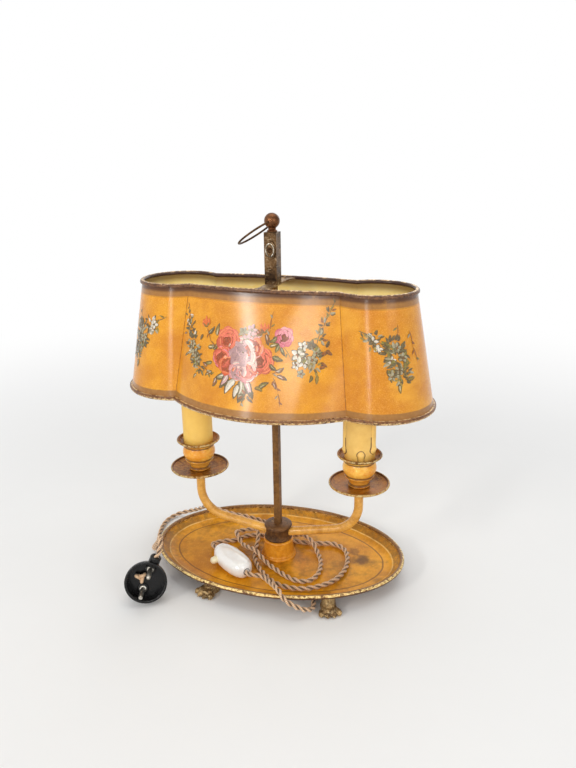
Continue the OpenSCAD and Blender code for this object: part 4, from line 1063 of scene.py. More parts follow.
def build_candle(word, side, wax, runs):
    """Candle tube. runs are wax drips: angle, length as a share of the tube, thickness, and width in
    degrees. A length below zero is a lump at the tube's foot."""
    cols, rows, bore_r = 144, 96, 12.6
    rings, grime_and_shade = [], []
    for k in range(rows + 1):
        z = CANDLE_H * k / rows
        ring = []
        for i in range(cols):
            a = 2 * math.pi * i / cols
            r = 14.0 if not runs else 13.9 + 0.1 * bumpy((20 * math.cos(a), 20 * math.sin(a), z), 0.11)
            dirt_and_shade = 0.0
            for spot, length, thick, wide in runs:
                foot = CANDLE_H * (1 - length) if length > 0 else 0.0
                path = spot + 5 * bumpy((spot, 0, z), 0.05)
                off = (math.degrees(a) - path + 180) % 360 - 180
                tail = (z - foot) / 5 if length > 0 else (-CANDLE_H * length - z) / 5
                grown = 0.0 if tail < -0.5 else min(1.0, (tail + 0.5) ** 0.5)
                blob = 1 + 0.35 * math.exp(-((tail * 5 - 2.2) / 2.6) ** 2)
                across = max(0.0, 1 - (off / (wide * blob)) ** 2) ** 0.5
                r += thick * grown * blob * across * 0.8
                near = math.hypot(abs(off) / (wide * blob), max(0.0, 0.3 - tail) * 1.6)
                # grime with painted shade round the border of each thick run
                if thick > 1.6 and tail > -0.7:
                    dirt_and_shade = max(dirt_and_shade, math.exp(-((near - 1.1) / 0.17) ** 2) * (1.0 if tail < 3 else 0.55))
            grime_and_shade.append(dirt_and_shade)
            ring.append((side * LIGHT_X + r * math.cos(a), r * math.sin(a), CANDLE_Z + z))
        rings.append(ring)
    turns = [2 * math.pi * i / cols for i in range(cols)]
    bore = [[(side * LIGHT_X + bore_r * math.cos(a), bore_r * math.sin(a), z) for a in turns]
            for z in (CANDLE_Z + CANDLE_H, CANDLE_Z)]
    tube = ring_stack(f"candle_{word}_wax", rings + bore)
    float_layer(tube, "grime_and_shade", grime_and_shade + [0.0] * (2 * cols))
    tidy(tube, 42)
    settle(tube, wax, "base", "candle_card", f"candle_{word}")


# ---------------------------------------------------------------- shade

def build_shade(paint, lining):
    """Four-lobed wall: straight from the low outline to the top one, with a thin lined inside."""
    rows, rings = 24, []
    for grow, order in ((0.0, range(rows + 1)), (-SHADE_TIN, range(rows, -1, -1))):
        low, top = shade_ring(LOW, grow, SHADE_Z), shade_ring(TOP, grow, BAR_Z)
        for k in order:
            rings.append([between(a, b, k / rows) for a, b in zip(low, top)])
    folds = [RING_STEPS * k for k in (1, 3, 5, 7)]
    marks = [1.0 if i in folds else 0.0 for i in range(RING_STEPS * 8)]
    shade = ring_stack("shade_tin", rings)
    float_layer(shade, "fold", marks * len(rings))
    tidy(shade, 18)
    settle(shade, paint, "shade", "ochre_tin", "shade_wall")
    shade.data.materials.append(lining)
    back = SHADE_TURN.inverted().to_3x3()
    fold_x, side_centre = 70 * MM, 91.6 * MM
    for p in shade.data.polygons:
        at, normal = back @ p.center, back @ p.normal
        if abs(at.x) < fold_x:
            outwards = Vector((0, math.copysign(1, at.y), 0))
        else:
            outwards = Vector((at.x - math.copysign(side_centre, at.x), at.y, 0))
        if normal.dot(outwards) < 0:
            p.material_index = 1


def build_shade_rim(name, node, level, z, up, d, paint):
    """Wired bead round one edge of the shade, a little lumpy where the tin is folded over."""
    r, count = d / 2, 22
    rings, marks = [], []
    start = math.acos(-0.5)
    for k in range(count + 1):
        a = -start + 2 * start * k / count
        swell = 0.97
        grow = -0.4 + r * swell * math.sin(a)
        lift = z + up * max(0.0, r * 0.5 + r * swell * math.cos(a))
        ring = shade_ring(level, grow, lift, 44, 30)
        ring = [p + Vector((0, 0, -up * 0.16 * (1 + bumpy(p, 0.16, k * 0.4)))) if k not in (0, count) else p
                for p in ring]
        rings.append(ring)
        marks.extend([k / count] * len(ring))
    rim = ring_stack(name, rings)
    float_layer(rim, "rim", marks)
    tidy(rim, 62)
    settle(rim, paint, "shade", "gilt_edge", node)


# ---------------------------------------------------------------- painted garlands

PAINTS = {
    "rose": (rgb(172, 26, 30), rgb(240, 112, 96)), "deep": (rgb(126, 8, 8), rgb(222, 60, 34)),
    "coral": (rgb(200, 50, 24), rgb(246, 148, 104)), "wine": (rgb(92, 6, 14), rgb(156, 26, 34)),
    "blush": (rgb(198, 112, 128), rgb(244, 196, 188)), "lilac": (rgb(142, 110, 124), rgb(222, 180, 184)),
    "white": (rgb(160, 160, 146), rgb(242, 238, 224)), "grey": (rgb(84, 90, 70), rgb(178, 178, 150)),
    "teal": (rgb(18, 30, 24), rgb(70, 90, 66)), "green": (rgb(40, 50, 14), rgb(122, 128, 54)),
    "olive": (rgb(76, 66, 16), rgb(160, 140, 56)), "brown": (rgb(88, 32, 10), rgb(150, 72, 28)),
    "orange": (rgb(186, 52, 12), rgb(238, 120, 56)), "black": (rgb(18, 14, 12), rgb(44, 36, 28)),
    "pink": (rgb(190, 44, 96), rgb(240, 150, 172)),
}


WALL_H, BROAD_HALF, SIDE_HALF = 101, 76, 84
STROKE_ROWS, STROKE_COLS = 7, 5
LAYERS, LAYER_LIFT = 46, 0.011


class Garland:
    """Collects brush strokes on one lobe and turns them into one thin painted piece. Places are
    (s, t): s runs -1 to 1 across the lobe, t runs 0 to 1 from its low edge up to its top."""

    def __init__(self, lobe, seed):
        self.lobe, self.rand = lobe, random.Random(seed)
        self.verts, self.faces, self.tints, self.layer = [], [], [], 0
        self.low, self.top = lobes(LOW), lobes(TOP)

    def surface(self, s, t, lift):
        """The point at (s, t), lifted off the wall."""
        kind, sign = self.lobe
        ends = []
        for level, z in ((self.low, SHADE_Z), (self.top, BAR_Z)):
            radius, centre, reach = level[0] if kind == "broad" else level[1]
            a = reach * s
            out, across = centre + (radius + lift) * math.cos(a), (radius + lift) * math.sin(a)
            x, y = (across * -sign, out * sign) if kind == "broad" else (out * sign, across * sign)
            ends.append(Vector((x, y, z)))
        return SHADE_TURN @ between(ends[0], ends[1], t)

    def stroke(self, spot, size, turn, paint, bend=0.0, point=0.75, glow=0.0):
        """A leaf-shaped dab: its foot at spot, size (length, width) and offset in millimetres."""
        s0, t0, du, dv = spot
        rand, (deep, light) = self.rand, PAINTS[paint]
        half = BROAD_HALF if self.lobe[0] == "broad" else SIDE_HALF
        length, width = size[0] * rand.uniform(0.9, 1.1), size[1] * rand.uniform(0.85, 1.15)
        shade = rand.uniform(-0.12, 0.12)
        self.layer += 1
        lift = 0.05 + LAYER_LIFT * (self.layer % LAYERS)
        first, rows, cols = len(self.verts), STROKE_ROWS, STROKE_COLS
        for i in range(rows):
            a = i / (rows - 1)
            wide = width * 0.5 * math.sin(math.pi * min(1.0, 0.06 + a ** point * 0.94)) ** 0.8
            for j in range(cols):
                b = j / (cols - 1) * 2 - 1
                u = length * a
                v = wide * b + bend * math.sin(math.pi * a) * length
                x = du + u * math.cos(turn) - v * math.sin(turn)
                y = dv + u * math.sin(turn) + v * math.cos(turn)
                self.verts.append(self.surface(s0 + x / half, t0 + y / WALL_H, lift))
                mix = 0.5 + 0.38 * b + 0.25 * (a - 0.5) + shade + glow + rand.uniform(-0.12, 0.12)
                mix = min(1.0, max(0.0, mix))
                solid = 1.0 - 0.75 * (abs(b) == 1 or i in (0, rows - 1))
                self.tints.append([deep[k] + (light[k] - deep[k]) * mix for k in range(3)] + [solid])
        for i in range(rows - 1):
            for j in range(cols - 1):
                a = first + i * cols + j
                self.faces.append((a, a + 1, a + cols + 1, a + cols))

    def leaf(self, s, t, turn, size, paint="green", vein=True):
        """A dark outline, the leaf's own colour over it and a light flick along its vein."""
        bend = self.rand.uniform(-0.12, 0.12)
        self.stroke((s, t, 0, 0), (size * 1.06, size * 0.50), turn, "teal", bend, glow=-0.3)
        self.stroke((s, t, 0.4 * math.cos(turn), 0.4 * math.sin(turn)), (size * 0.86, size * 0.34), turn,
                    paint, bend)
        if vein:
            self.stroke((s, t, 0.8 * math.cos(turn), 0.8 * math.sin(turn)), (size * 0.6, size * 0.09), turn,
                        "grey" if paint in ("teal", "green") else "white", bend, glow=0.2)

    def leaves(self, rows, vein=True):
        for s, t, turn, size, paint in rows:
            self.leaf(s, t, turn, size, paint, vein)

    def cluster(self, s, t, wide, tall, count, size, paints):
        """Small leaves crowded in an oval patch, darkest first."""
        for k in range(count):
            under = k < count * 0.45
            a, d = self.rand.uniform(0, 2 * math.pi), self.rand.random() ** 0.6
            self.stroke((s, t, wide * d * math.cos(a), tall * d * math.sin(a)), (size, size * 0.46),
                        a + self.rand.uniform(-0.9, 0.9), "teal" if under else self.rand.choice(paints),
                        self.rand.uniform(-0.1, 0.1), glow=-0.2 if under else 0.1)

    def clusters(self, rows, paints):
        for s, t, wide, tall, count, size in rows:
            self.cluster(s, t, wide, tall, count, size, paints)

    def rose(self, s, t, size, outer="rose", heart="deep", light="blush"):
        """A full-blown rose: dark ground, cupped petals with pale lips, folded heart."""
        rand = self.rand
        for k in range(6):
            a = math.pi * k / 3
            self.stroke((s, t, -size * 0.1 * math.cos(a), -size * 0.1 * math.sin(a)),
                        (size * 0.62, size * 0.6), a, heart, glow=-0.2)
        for ring, count, reach in ((0, 7, 0.50), (1, 6, 0.36), (2, 5, 0.22)):
            for k in range(count):
                a = 2 * math.pi * (k + 0.4 * ring) / count + rand.uniform(-0.2, 0.2)
                sunny = 0.28 if math.sin(a + 0.6) > 0 else -0.18
                x, y = size * reach * 0.8 * math.cos(a), size * reach * 0.8 * math.sin(a)
                wide, long = size * (reach * 0.95 + 0.12), size * (reach * 0.42 + 0.08)
                tilt = a + math.pi / 2 + rand.uniform(-0.2, 0.2)
                foot = (s, t, x - wide / 2 * math.cos(tilt), y - wide / 2 * math.sin(tilt))
                self.stroke(foot, (wide, long), tilt, outer, -0.16, 0.9, sunny)
                lip = (s, t, foot[2] + size * 0.05 * math.cos(a), foot[3] + size * 0.05 * math.sin(a))
                if sunny > 0 or rand.random() < 0.3:
                    self.stroke(lip, (wide * 0.9, long * 0.26), tilt, light, -0.16, 0.9, 0.15)
                base = (s, t, foot[2] - size * 0.09 * math.cos(a), foot[3] - size * 0.09 * math.sin(a))
                self.stroke(base, (wide * 0.85, long * 0.2), tilt, heart, -0.16, 0.9, -0.2)
        for _ in range(4):
            a = rand.uniform(0, 2 * math.pi)
            self.stroke((s, t, rand.uniform(-0.1, 0.1) * size, rand.uniform(-0.1, 0.1) * size),
                        (size * 0.24, size * 0.08), a, "wine" if heart != "lilac" else "lilac", 0.3)

    def blossom(self, s, t, size, paint, heart="brown", petals=5):
        """A small open flower: dark petals, its own petals over them, three dabs at its heart."""
        ground = "teal" if paint in ("white", "grey") else heart
        for k in range(petals):
            self.stroke((s, t, 0, 0), (size * 0.56, size * 0.46), 2 * math.pi * k / petals, ground, glow=-0.1)
        for k in range(petals):
            a = 2 * math.pi * k / petals + self.rand.uniform(-0.2, 0.2)
            self.stroke((s, t, size * 0.08 * math.cos(a), size * 0.08 * math.sin(a)),
                        (size * 0.42, size * 0.34), a, paint, 0.0, 1.0, 0.1)
        for _ in range(3):
            self.stroke((s, t, 0, 0), (size * 0.2, size * 0.1), self.rand.uniform(0, 6.28), heart)

    def bud(self, s, t, turn, size, paint="orange"):
        """Three petals still folded together, between two green ones."""
        for k in (-1, 0, 1):
            self.stroke((s, t, 0, 0), (size, size * 0.42), turn + k * 0.38, paint, k * 0.12, 0.9, 0.1 * k)
        for k in (-1, 1):
            self.stroke((s, t, 0, 0), (size * 0.6, size * 0.2), turn + k * 0.7, "green")

    def vine(self, points, leaves, paint="brown", size=4.2):
        """A thin stem through (s, t) points with small leaves on alternate sides."""
        for (s, t), (s2, t2) in zip(points, points[1:]):
            du, dv = (s2 - s) * BROAD_HALF, (t2 - t) * WALL_H
            self.stroke((s, t, 0, 0), (math.hypot(du, dv) * 1.15, 0.9), math.atan2(dv, du), paint, 0.06)
            for k in range(leaves):
                a = (k + 0.5) / leaves
                turn = math.atan2(dv, du) + (0.8 if k % 2 else -0.8)
                self.stroke((s + (s2 - s) * a, t + (t2 - t) * a, 0, 0), (size, size * 0.4), turn,
                            self.rand.choice(("green", "teal", "brown", "grey")))

    def finish(self, name, paint):
        piece = mesh_piece(name, self.verts, self.faces)
        layer = piece.data.color_attributes.new("brush", "FLOAT_COLOR", "POINT")
        layer.data.foreach_set("color", [c for tint in self.tints for c in tint])
        for p in piece.data.polygons:
            p.use_smooth = True
        settle(piece, paint, "shade", "ochre_tin")


def paint_broad_lobe(sign, seed):
    """Full garland: vines from both creases, flowers down to the big roses in the middle."""
    g = Garland(("broad", sign), seed)
    r = g.rand
    # left: thin stem, then a thick hanging spray of small dark leaves
    g.vine([(-0.98, 0.87), (-0.94, 0.79), (-0.90, 0.72)], 1, "brown", 3.6)
    g.vine([(-0.93, 0.74), (-0.87, 0.64), (-0.80, 0.52)], 2, "teal", 4.6)
    g.clusters((
        (-0.93, 0.73, 2.4, 5, 12, 4.0), (-0.88, 0.66, 3.2, 5, 16, 4.4), (-0.82, 0.56, 4.2, 6, 22, 5.0),
        (-0.76, 0.47, 4.6, 6, 24, 5.2), (-0.70, 0.39, 4.4, 5, 20, 5.2), (-0.64, 0.33, 3.0, 3, 9, 4.4)),
        ("grey", "green", "grey", "white", "teal"))
    for s, t, size in ((-0.80, 0.52, 8), (-0.74, 0.45, 9), (-0.69, 0.38, 8)):
        g.blossom(s, t, size, r.choice(("grey", "white")))
    g.leaves(((-0.66, 0.28, 4.2, 6, "olive"), (-0.60, 0.32, 5.4, 6, "green"), (-0.84, 0.44, 3.9, 6, "teal"),
              (-0.92, 0.60, 3.4, 5, "brown")))
    g.vine([(-0.58, 0.36), (-0.50, 0.31), (-0.44, 0.30)], 2, "brown", 4.2)
    # bud with its leaves
    g.vine([(-0.62, 0.68), (-0.54, 0.58), (-0.44, 0.52)], 1, "brown", 4.0)
    g.bud(-0.63, 0.68, 1.75, 9.5)
    g.leaf(-0.58, 0.63, 0.9, 8, "teal")
    g.leaf(-0.66, 0.62, 4.4, 6, "brown")
    g.leaves((
        (-0.46, 0.62, 1.5, 10, "olive"), (-0.47, 0.50, 1.2, 10, "green"), (-0.56, 0.52, 0.2, 8, "olive"),
        (-0.46, 0.40, 3.4, 8, "green"), (-0.44, 0.33, 3.8, 9, "olive"), (-0.38, 0.29, 4.5, 8, "brown"),
        (-0.52, 0.36, 2.7, 6, "brown")))
    # leaves and stems at the right of the roses
    g.vine([(0.16, 0.58), (0.20, 0.70), (0.22, 0.84)], 2, "brown", 4.4)
    g.leaves(((0.15, 0.68, 5.0, 9, "brown"), (0.20, 0.58, 0.3, 9, "olive"), (0.24, 0.50, 6.0, 10, "green"),
              (0.22, 0.44, 5.6, 8, "teal"), (0.12, 0.24, 0.6, 9, "green"), (0.08, 0.25, 5.9, 8, "olive"),
              (0.28, 0.38, 0.5, 8, "brown"), (0.30, 0.35, 5.9, 9, "brown"), (0.26, 0.30, 5.2, 7, "brown")))
    g.vine([(0.26, 0.34), (0.32, 0.22), (0.34, 0.12)], 2, "brown", 4.2)
    g.vine([(0.24, 0.36), (0.34, 0.38)], 2, "brown", 4.0)
    g.bud(0.13, 0.68, 1.6, 9)
    g.bud(0.10, 0.66, 2.2, 6, "brown")
    # pale flowers behind the roses, then the roses themselves
    for s, t, size in ((-0.02, 0.70, 10), (-0.12, 0.68, 9), (0.05, 0.66, 9), (-0.06, 0.62, 11)):
        g.blossom(s, t, size, r.choice(("lilac", "blush")), "grey")
    g.rose(-0.12, 0.50, 24, "blush", "lilac", "white")
    g.rose(-0.30, 0.60, 19, "rose", "deep", "coral")
    g.rose(-0.34, 0.46, 16, "rose", "deep", "pink")
    g.rose(-0.26, 0.40, 14, "coral", "deep", "blush")
    g.rose(0.02, 0.56, 16, "coral", "deep", "blush")
    g.rose(0.11, 0.46, 20, "rose", "wine", "coral")
    g.rose(-0.02, 0.38, 17, "blush", "rose", "white")
    g.rose(-0.13, 0.36, 14, "blush", "lilac", "white")
    for _ in range(16):
        g.stroke((-0.08, 0.45, r.uniform(-8, 9), r.uniform(-17, 15)), (1.6, 1.2), r.uniform(0, 6.28),
                 r.choice(("black", "wine", "black")))
    # broad grey-violet leaves hanging under them
    g.leaves((
        (-0.22, 0.36, 3.7, 17, "grey"), (-0.24, 0.34, 4.3, 15, "lilac"), (-0.14, 0.30, 4.2, 17, "white"),
        (-0.08, 0.30, 4.7, 20, "grey"), (-0.03, 0.30, 5.2, 15, "lilac"), (-0.10, 0.26, 4.5, 13, "white")))
    g.cluster(0.00, 0.18, 3.0, 5.0, 7, 5.0, ("teal", "brown", "grey"))
    g.vine([(-0.03, 0.20), (-0.05, 0.09)], 2, "teal", 4.4)
    # pink rosebud and the white spray with its vine up to the right crease
    for s, t, turn in ((0.31, 0.60, 4.3), (0.28, 0.66, 3.8), (0.33, 0.58, 5.2)):
        g.leaf(s, t, turn, 8, "green")
    g.rose(0.36, 0.66, 14, "pink", "wine", "blush")
    g.vine([(0.36, 0.58), (0.44, 0.48), (0.52, 0.46)], 1, "olive", 4.2)
    g.cluster(0.64, 0.52, 8, 9, 38, 5.4, ("grey", "green", "teal"))
    g.cluster(0.70, 0.44, 5, 6, 18, 5.0, ("grey", "olive", "brown"))
    for s, t, size, paint in (
            (0.52, 0.52, 12, "white"), (0.57, 0.59, 9, "white"), (0.50, 0.44, 8, "white"),
            (0.58, 0.46, 10, "white"), (0.55, 0.37, 7, "grey"), (0.66, 0.60, 9, "grey"),
            (0.67, 0.48, 9, "grey"), (0.72, 0.54, 8, "grey")):
        g.blossom(s, t, size, paint)
    g.leaves(((0.76, 0.46, 5.6, 7, "brown"), (0.72, 0.36, 4.6, 7, "olive"), (0.66, 0.36, 4.4, 6, "green"),
              (0.76, 0.52, 0.5, 8, "brown"), (0.82, 0.56, 5.6, 7, "brown"), (0.82, 0.58, 1.1, 7, "brown")),
             vein=False)
    g.vine([(0.72, 0.60), (0.80, 0.74), (0.88, 0.85), (0.97, 0.97)], 2, "teal", 5.0)
    g.clusters(((0.75, 0.66, 2.6, 5, 12, 5.0), (0.80, 0.75, 2.2, 4, 10, 5.0), (0.88, 0.85, 1.6, 4, 6, 5.0)),
               ("green", "olive", "brown", "grey"))
    return g


def paint_side_lobe(sign, seed):
    """Sprays of dark leaves with grey-green flowers, each on thin stems from the crease."""
    g = Garland(("end", sign), seed)
    r = g.rand
    for half in (-1, 1):
        place = 0.46 * half
        g.vine([(place + 0.34 * half, 0.74), (place + 0.22 * half, 0.70), (place + 0.1 * half, 0.62)],
               2, "teal", 5.0)
        g.vine([(place - 0.06 * half, 0.80), (place - 0.03 * half, 0.68)], 2, "brown", 4.6)
        g.cluster(place + 0.18 * half, 0.66, 8, 6, 18, 5.0, ("grey", "white", "olive"))
        g.cluster(place, 0.52, 9, 15, 64, 6.2, ("teal", "green", "grey", "teal"))
        g.cluster(place - 0.04 * half, 0.38, 7, 8, 20, 5.6, ("teal", "olive", "grey"))
        for ds, t, size, paint in (
                (0.02, 0.60, 10, "grey"), (0.07, 0.52, 9, "grey"), (-0.05, 0.50, 9, "white"),
                (0.02, 0.42, 9, "grey"), (-0.06, 0.37, 8, "grey"), (0.2 * half, 0.66, 9, "white"),
                (0.16 * half, 0.60, 8, "white")):
            g.blossom(place + ds, t, size, paint)
        for _ in range(8):
            g.leaf(place + r.uniform(-0.12, 0.12), 0.48 + r.uniform(-0.16, 0.18), r.uniform(0, 6.28), 8,
                   r.choice(("teal", "green", "olive")), False)
        g.leaf(place, 0.30, 4.7, 8, "olive")
        g.vine([(place - 0.18 * half, 0.74), (place - 0.2 * half, 0.60), (place - 0.24 * half, 0.46)],
               2, "brown", 5.0)
    return g


def brush_material():
    """Thin oil paint whose strokes break up at their edges into dry-brush grain."""
    mat, g, shader = new_material("garland_paint", coat=0.9, coat_roughness=0.2,
                                  **{"Roughness": 0.4, "Coat IOR": 1.36, "Specular IOR Level": 0.22})
    where = g.coords()
    layer = g.node("ShaderNodeAttribute", attribute_name="brush").outputs
    grain = g.noise(where, 900.0, 5.0, 0.7)
    tone = g.minus(grain, 0.5)
    faded = g.mix(0.14, layer["Color"], rgb(222, 160, 70))
    colour = g.mix(g.level(tone, 0.0, 0.25, 0.0, 0.4), faded, rgb(236, 190, 120))
    g.link(g.mix(g.level(tone, -0.02, -0.2, 0.0, 0.45), colour, rgb(70, 40, 20)), shader["Base Color"])
    ragged = g.plus(layer["Alpha"], g.sway(1.3, where, 520.0))
    g.link(g.level(ragged, 0.42, 0.58), shader["Alpha"])
    g.link(g.bump(grain, 0.0004, 0.7), shader["Normal"])
    return mat


# ---------------------------------------------------------------- switch and plug

def build_switch(glaze, cream, rubber):
    """Glazed shell in two halves, with a cord hole at each end, and the push bar through it."""
    def half_width(x):
        knots = ((-25, 0.5), (-24.2, 4.6), (-22, 7.8), (-18, 10.2), (-12, 11.7), (-4, 12.4), (3, 12.2),
                 (10, 11.4), (16, 9.8), (20, 7.8), (23, 5.2), (24.5, 2.8), (25, 0.5))
        for (a, p), (b, q) in zip(knots, knots[1:]):
            if a <= x <= b:
                t = (x - a) / (b - a)
                return p + (q - p) * (3 * t * t - 2 * t ** 3) * 0.25 + (q - p) * t * 0.75
        return 0.5

    def shell(name, x0, x1, node):
        rings, steps, sides, square = [], 44, 56, 0.86
        for k in range(steps + 1):
            x = x0 + (x1 - x0) * (0.5 - 0.5 * math.cos(math.pi * k / steps))
            w = half_width(x)
            if x0 > -25 and k < 2 or x1 < 25 and k > steps - 2:
                w -= 0.35
            h = min(w, 8.5 * (1 - math.exp(-w / 4.6)) / (1 - math.exp(-12.4 / 4.6)))
            ring = []
            for j in range(sides):
                a = 2 * math.pi * j / sides
                c, s = math.cos(a), math.sin(a)
                ring.append(SWITCH_AT + SWITCH_U * x + SWITCH_SIDE * (w * math.copysign(abs(c) ** square, c))
                            + Vector((0, 0, h * math.copysign(abs(s) ** square, s))))
            rings.append(ring)
        piece = ring_stack(name, rings, closed=False, caps=True)
        tidy(piece, 55)
        settle(piece, glaze, "base", "porcelain", node)
    shell("switch_shell", -25, 16.9, "switch_body")
    shell("switch_cap", 17.1, 25, "switch_nose")
    turn = Matrix((SWITCH_U, SWITCH_SIDE, Vector((0, 0, 1)))).transposed().to_4x4()
    tip = rounded([(3.5, 0.0), (3.5, 26.2), (2.9, 28.0), (1.4, 28.9)], rounds=2)
    bar = turned_piece("switch_push_bar", [(0, 0), *tip, (0, 29.0)], steps=40)
    bar.data.transform(Matrix.Translation(SWITCH_AT * MM) @ turn
                       @ Matrix.Translation(mm(10, -11.9, 0)) @ Matrix.Rotation(-math.pi / 2, 4, "X"))
    settle(bar, cream, "push", "cream_plastic", "switch_push")
    hole = rounded([(3.2, 0.0), (3.2, 0.5), (2.75, 0.6), (2.7, -1.6)], rounds=1)
    for end, word in ((-1, "near"), (1, "far")):
        lip = turned_piece(f"switch_lip_{word}", [(2.65, -1.6), *hole], steps=40)
        lip.data.transform(Matrix.Translation((SWITCH_AT + SWITCH_U * end * 24.4) * MM)
                           @ (SWITCH_U * end).to_track_quat("Z", "Y").to_matrix().to_4x4())
        settle(lip, rubber, "base", "porcelain")


def build_plug(black, nickel, textile):
    """Round plug with its face open: cup and cord boss, two pins in their seats and the cord's knot.
    Cup, pins and knot lean back a little; the boss stays upright."""
    upright = (Matrix.Translation(PLUG_FACE * MM) @ Matrix.Rotation(PLUG_TURN, 4, "Z")
               @ Matrix.Rotation(math.pi / 2, 4, "Y") @ Matrix.Rotation(-PLUG_ROLL, 4, "Z"))
    lean = (Matrix.Translation(mm(0, 0.4, 1.2)) @ Matrix.Translation((PLUG_FACE - PLUG_OUT * 9) * MM)
            @ Matrix.Rotation(-PLUG_LEAN, 4, PLUG_SIDE)
            @ Matrix.Translation((PLUG_OUT * 9 - PLUG_FACE) * MM))
    place = lean @ upright
    outer = rounded([(11.5, -18), (14.2, -17), (16.4, -12.5), (18.5, -5), (18.9, -2.8), (18.2, -2.2),
                     (18.9, -1.7), (18.9, -0.3), (18.2, 0), (16.9, 0), (16.4, -0.6), (16.3, -11.2)],
                    rounds=2)
    cup = turned_piece("plug_cup", [(0, -18), *outer, (0, -11.2)], steps=96, angle=40)
    boss = rounded([(5.1, -3), (5.0, 4.6), (5.1, 5.4), (4.7, 6.4), (3.6, 6.9), (2.9, 6.9), (2.7, 5)],
                   rounds=2)
    neck = turned_piece("plug_neck", [(2.7, -3), *boss], steps=48)
    neck.data.transform(Matrix.Translation(mm(0, 0, -9)) @ Matrix.Rotation(-math.pi / 2, 4, "Y")
                        @ Matrix.Translation(mm(0, 0, 19)))
    for piece, node in ((cup, "plug_body"), (neck, None)):
        piece.data.transform(place if node else Matrix.Translation(PLUG_OUT * -2 * MM) @ upright)
        settle(piece, black, "base", "bakelite", *([node] if node else []))
    for k, x in enumerate((-PIN_PITCH / 2, PIN_PITCH / 2)):
        pin = turned_piece(f"plug_pin_{k + 1}", [(0, -17), (2.0, -17), (2.0, -11.2), *rounded([
            (3.5, -11.1), (3.5, -9.6), (3.0, -9.0), (2.0, -8.8), (2.0, 10.4), (1.6, 11.8), (0.7, 12.5)],
            rounds=1), (0, 12.6)], steps=40)
        pin.data.transform(place @ Matrix.Translation(mm(x, 0, 0)))
        settle(pin, nickel, "base", "nickel", *(["plug_pins"] if k == 0 else []))
        seat = turned_piece(f"plug_seat_{k + 1}", [(3.6, -11.2), *rounded([
            (5.2, -11.2), (5.2, -10.2), (4.6, -9.6), (3.6, -9.6)], rounds=1)], steps=40)
        seat.data.transform(place @ Matrix.Translation(mm(x, 0, 0)))
        settle(seat, black, "base", "bakelite")
    knot = []
    for k in range(90):
        a = 2 * math.pi * k / 90
        knot.append(Vector((-1 + 2.6 * math.sin(a) + 1.6 * math.sin(2 * a),
                            -5.6 + 3.2 * math.cos(a) - 1.3 * math.cos(2 * a),
                            -7.2 + 1.5 * math.sin(3 * a))))
    knotted = tube_piece("plug_cord_knot", knot, 1.5, 14, closed=True)
    knotted.data.transform(place)
    tidy(knotted, 70)
    settle(knotted, textile, "base", "cord_textile", "plug_knot")


def build_catch_frame(bare):
    """Worn oval frame standing proud of the sleeve round the catch."""
    low, high = (SHADE_TURN.inverted() @ Vector(p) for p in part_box("catch_plate"))
    centre = (low + high) / 2
    half_wide, half_tall, out = 3.5, 5.4, -6.7
    path = [SHADE_TURN @ Vector((centre.x / MM + half_wide * math.cos(a), out,
                                 centre.z / MM + half_tall * math.sin(a)))
            for a in (2 * math.pi * i / 64 for i in range(64))]
    oval = tube_piece("catch_frame", path, lambda t: 0.62 + 0.14 * math.sin(23 * t), 12, closed=True)
    tidy(oval, 70)
    settle(oval, bare, "shade", "steel")


# ---------------------------------------------------------------- the whole lamp

place_camera()
set_studio()
lay_floor()
braid = braid_material()
make_cords(braid)

bronze = pan_finish()
arm_paint = worn_paint("arm_ochre", rgb(240, 180, 84), rgb(192, 130, 48), rgb(255, 232, 166), rgb(78, 42, 14),
                       scale=20.0, gloss=0.24, coat=0.7, chips=0.34)[0]
hub_paint = worn_paint("hub_ochre", rgb(240, 166, 46), rgb(200, 120, 24), rgb(252, 204, 110), rgb(84, 44, 14),
                       scale=20.0, gloss=0.24, coat=0.6, chips=0.3)[0]
under_tin = worn_paint("under_tin", rgb(150, 104, 50), rgb(104, 68, 32), rgb(184, 138, 80), rgb(66, 40, 22),
                       scale=9.0, gloss=0.45, coat=0.1, chips=0.4)[0]
ball_brass = old_metal("ball_brass", rgb(122, 80, 50), rgb(76, 46, 26), rgb(188, 140, 96), 14.0, 0.22, 0.2)
dark_brass = old_metal("ring_brass", rgb(96, 66, 38), rgb(44, 28, 16), rgb(196, 164, 112), 30.0, 0.34, 0.3)
collar_brown = old_metal("collar_brown", rgb(112, 74, 36), rgb(56, 34, 14), rgb(176, 130, 72),
                         26.0, 0.36, 0.35, 0.4)
stem_brown = old_metal("stem_brown", rgb(136, 94, 44), rgb(84, 52, 20), rgb(190, 144, 84),
                       18.0, 0.36, 0.3, 0.45)
sleeve_metal = old_metal("sleeve_metal", rgb(112, 82, 50), rgb(40, 26, 14), rgb(236, 214, 176),
                         20.0, 0.26, 0.4, 0.8, 0.3)
bare_silver = old_metal("bare_silver", rgb(172, 160, 140), rgb(70, 54, 38), rgb(240, 234, 220),
                        34.0, 0.24, 0.6, 0.85, 0.4)
strap_metal = old_metal("strap_metal", rgb(150, 118, 78), rgb(86, 58, 32), rgb(226, 204, 160),
                        24.0, 0.4, 0.5, 0.45)
fresh_brass = old_metal("fresh_brass", rgb(176, 138, 76), rgb(110, 78, 40), rgb(226, 196, 132),
                        24.0, 0.3, 0.3)
spring_steel = old_metal("spring_steel", rgb(150, 150, 146), rgb(96, 92, 86), rgb(214, 214, 208),
                         24.0, 0.3, 0.4)
nickel = old_metal("worn_nickel", rgb(196, 192, 182), rgb(122, 112, 98), rgb(236, 234, 226), 30.0, 0.2, 0.4)
gilt_feet = old_metal("gilt_feet", rgb(158, 122, 72), rgb(70, 48, 28), rgb(226, 200, 148),
                      34.0, 0.36, 0.6, 0.65)
wax_plain = smooth_finish("candle_plain", rgb(244, 200, 100), rgb(228, 176, 74), 12.0, 0.42, dirt_and_shade=0.12,
                          **wax_glow(0.12))
wax_run = wax_with_runs()
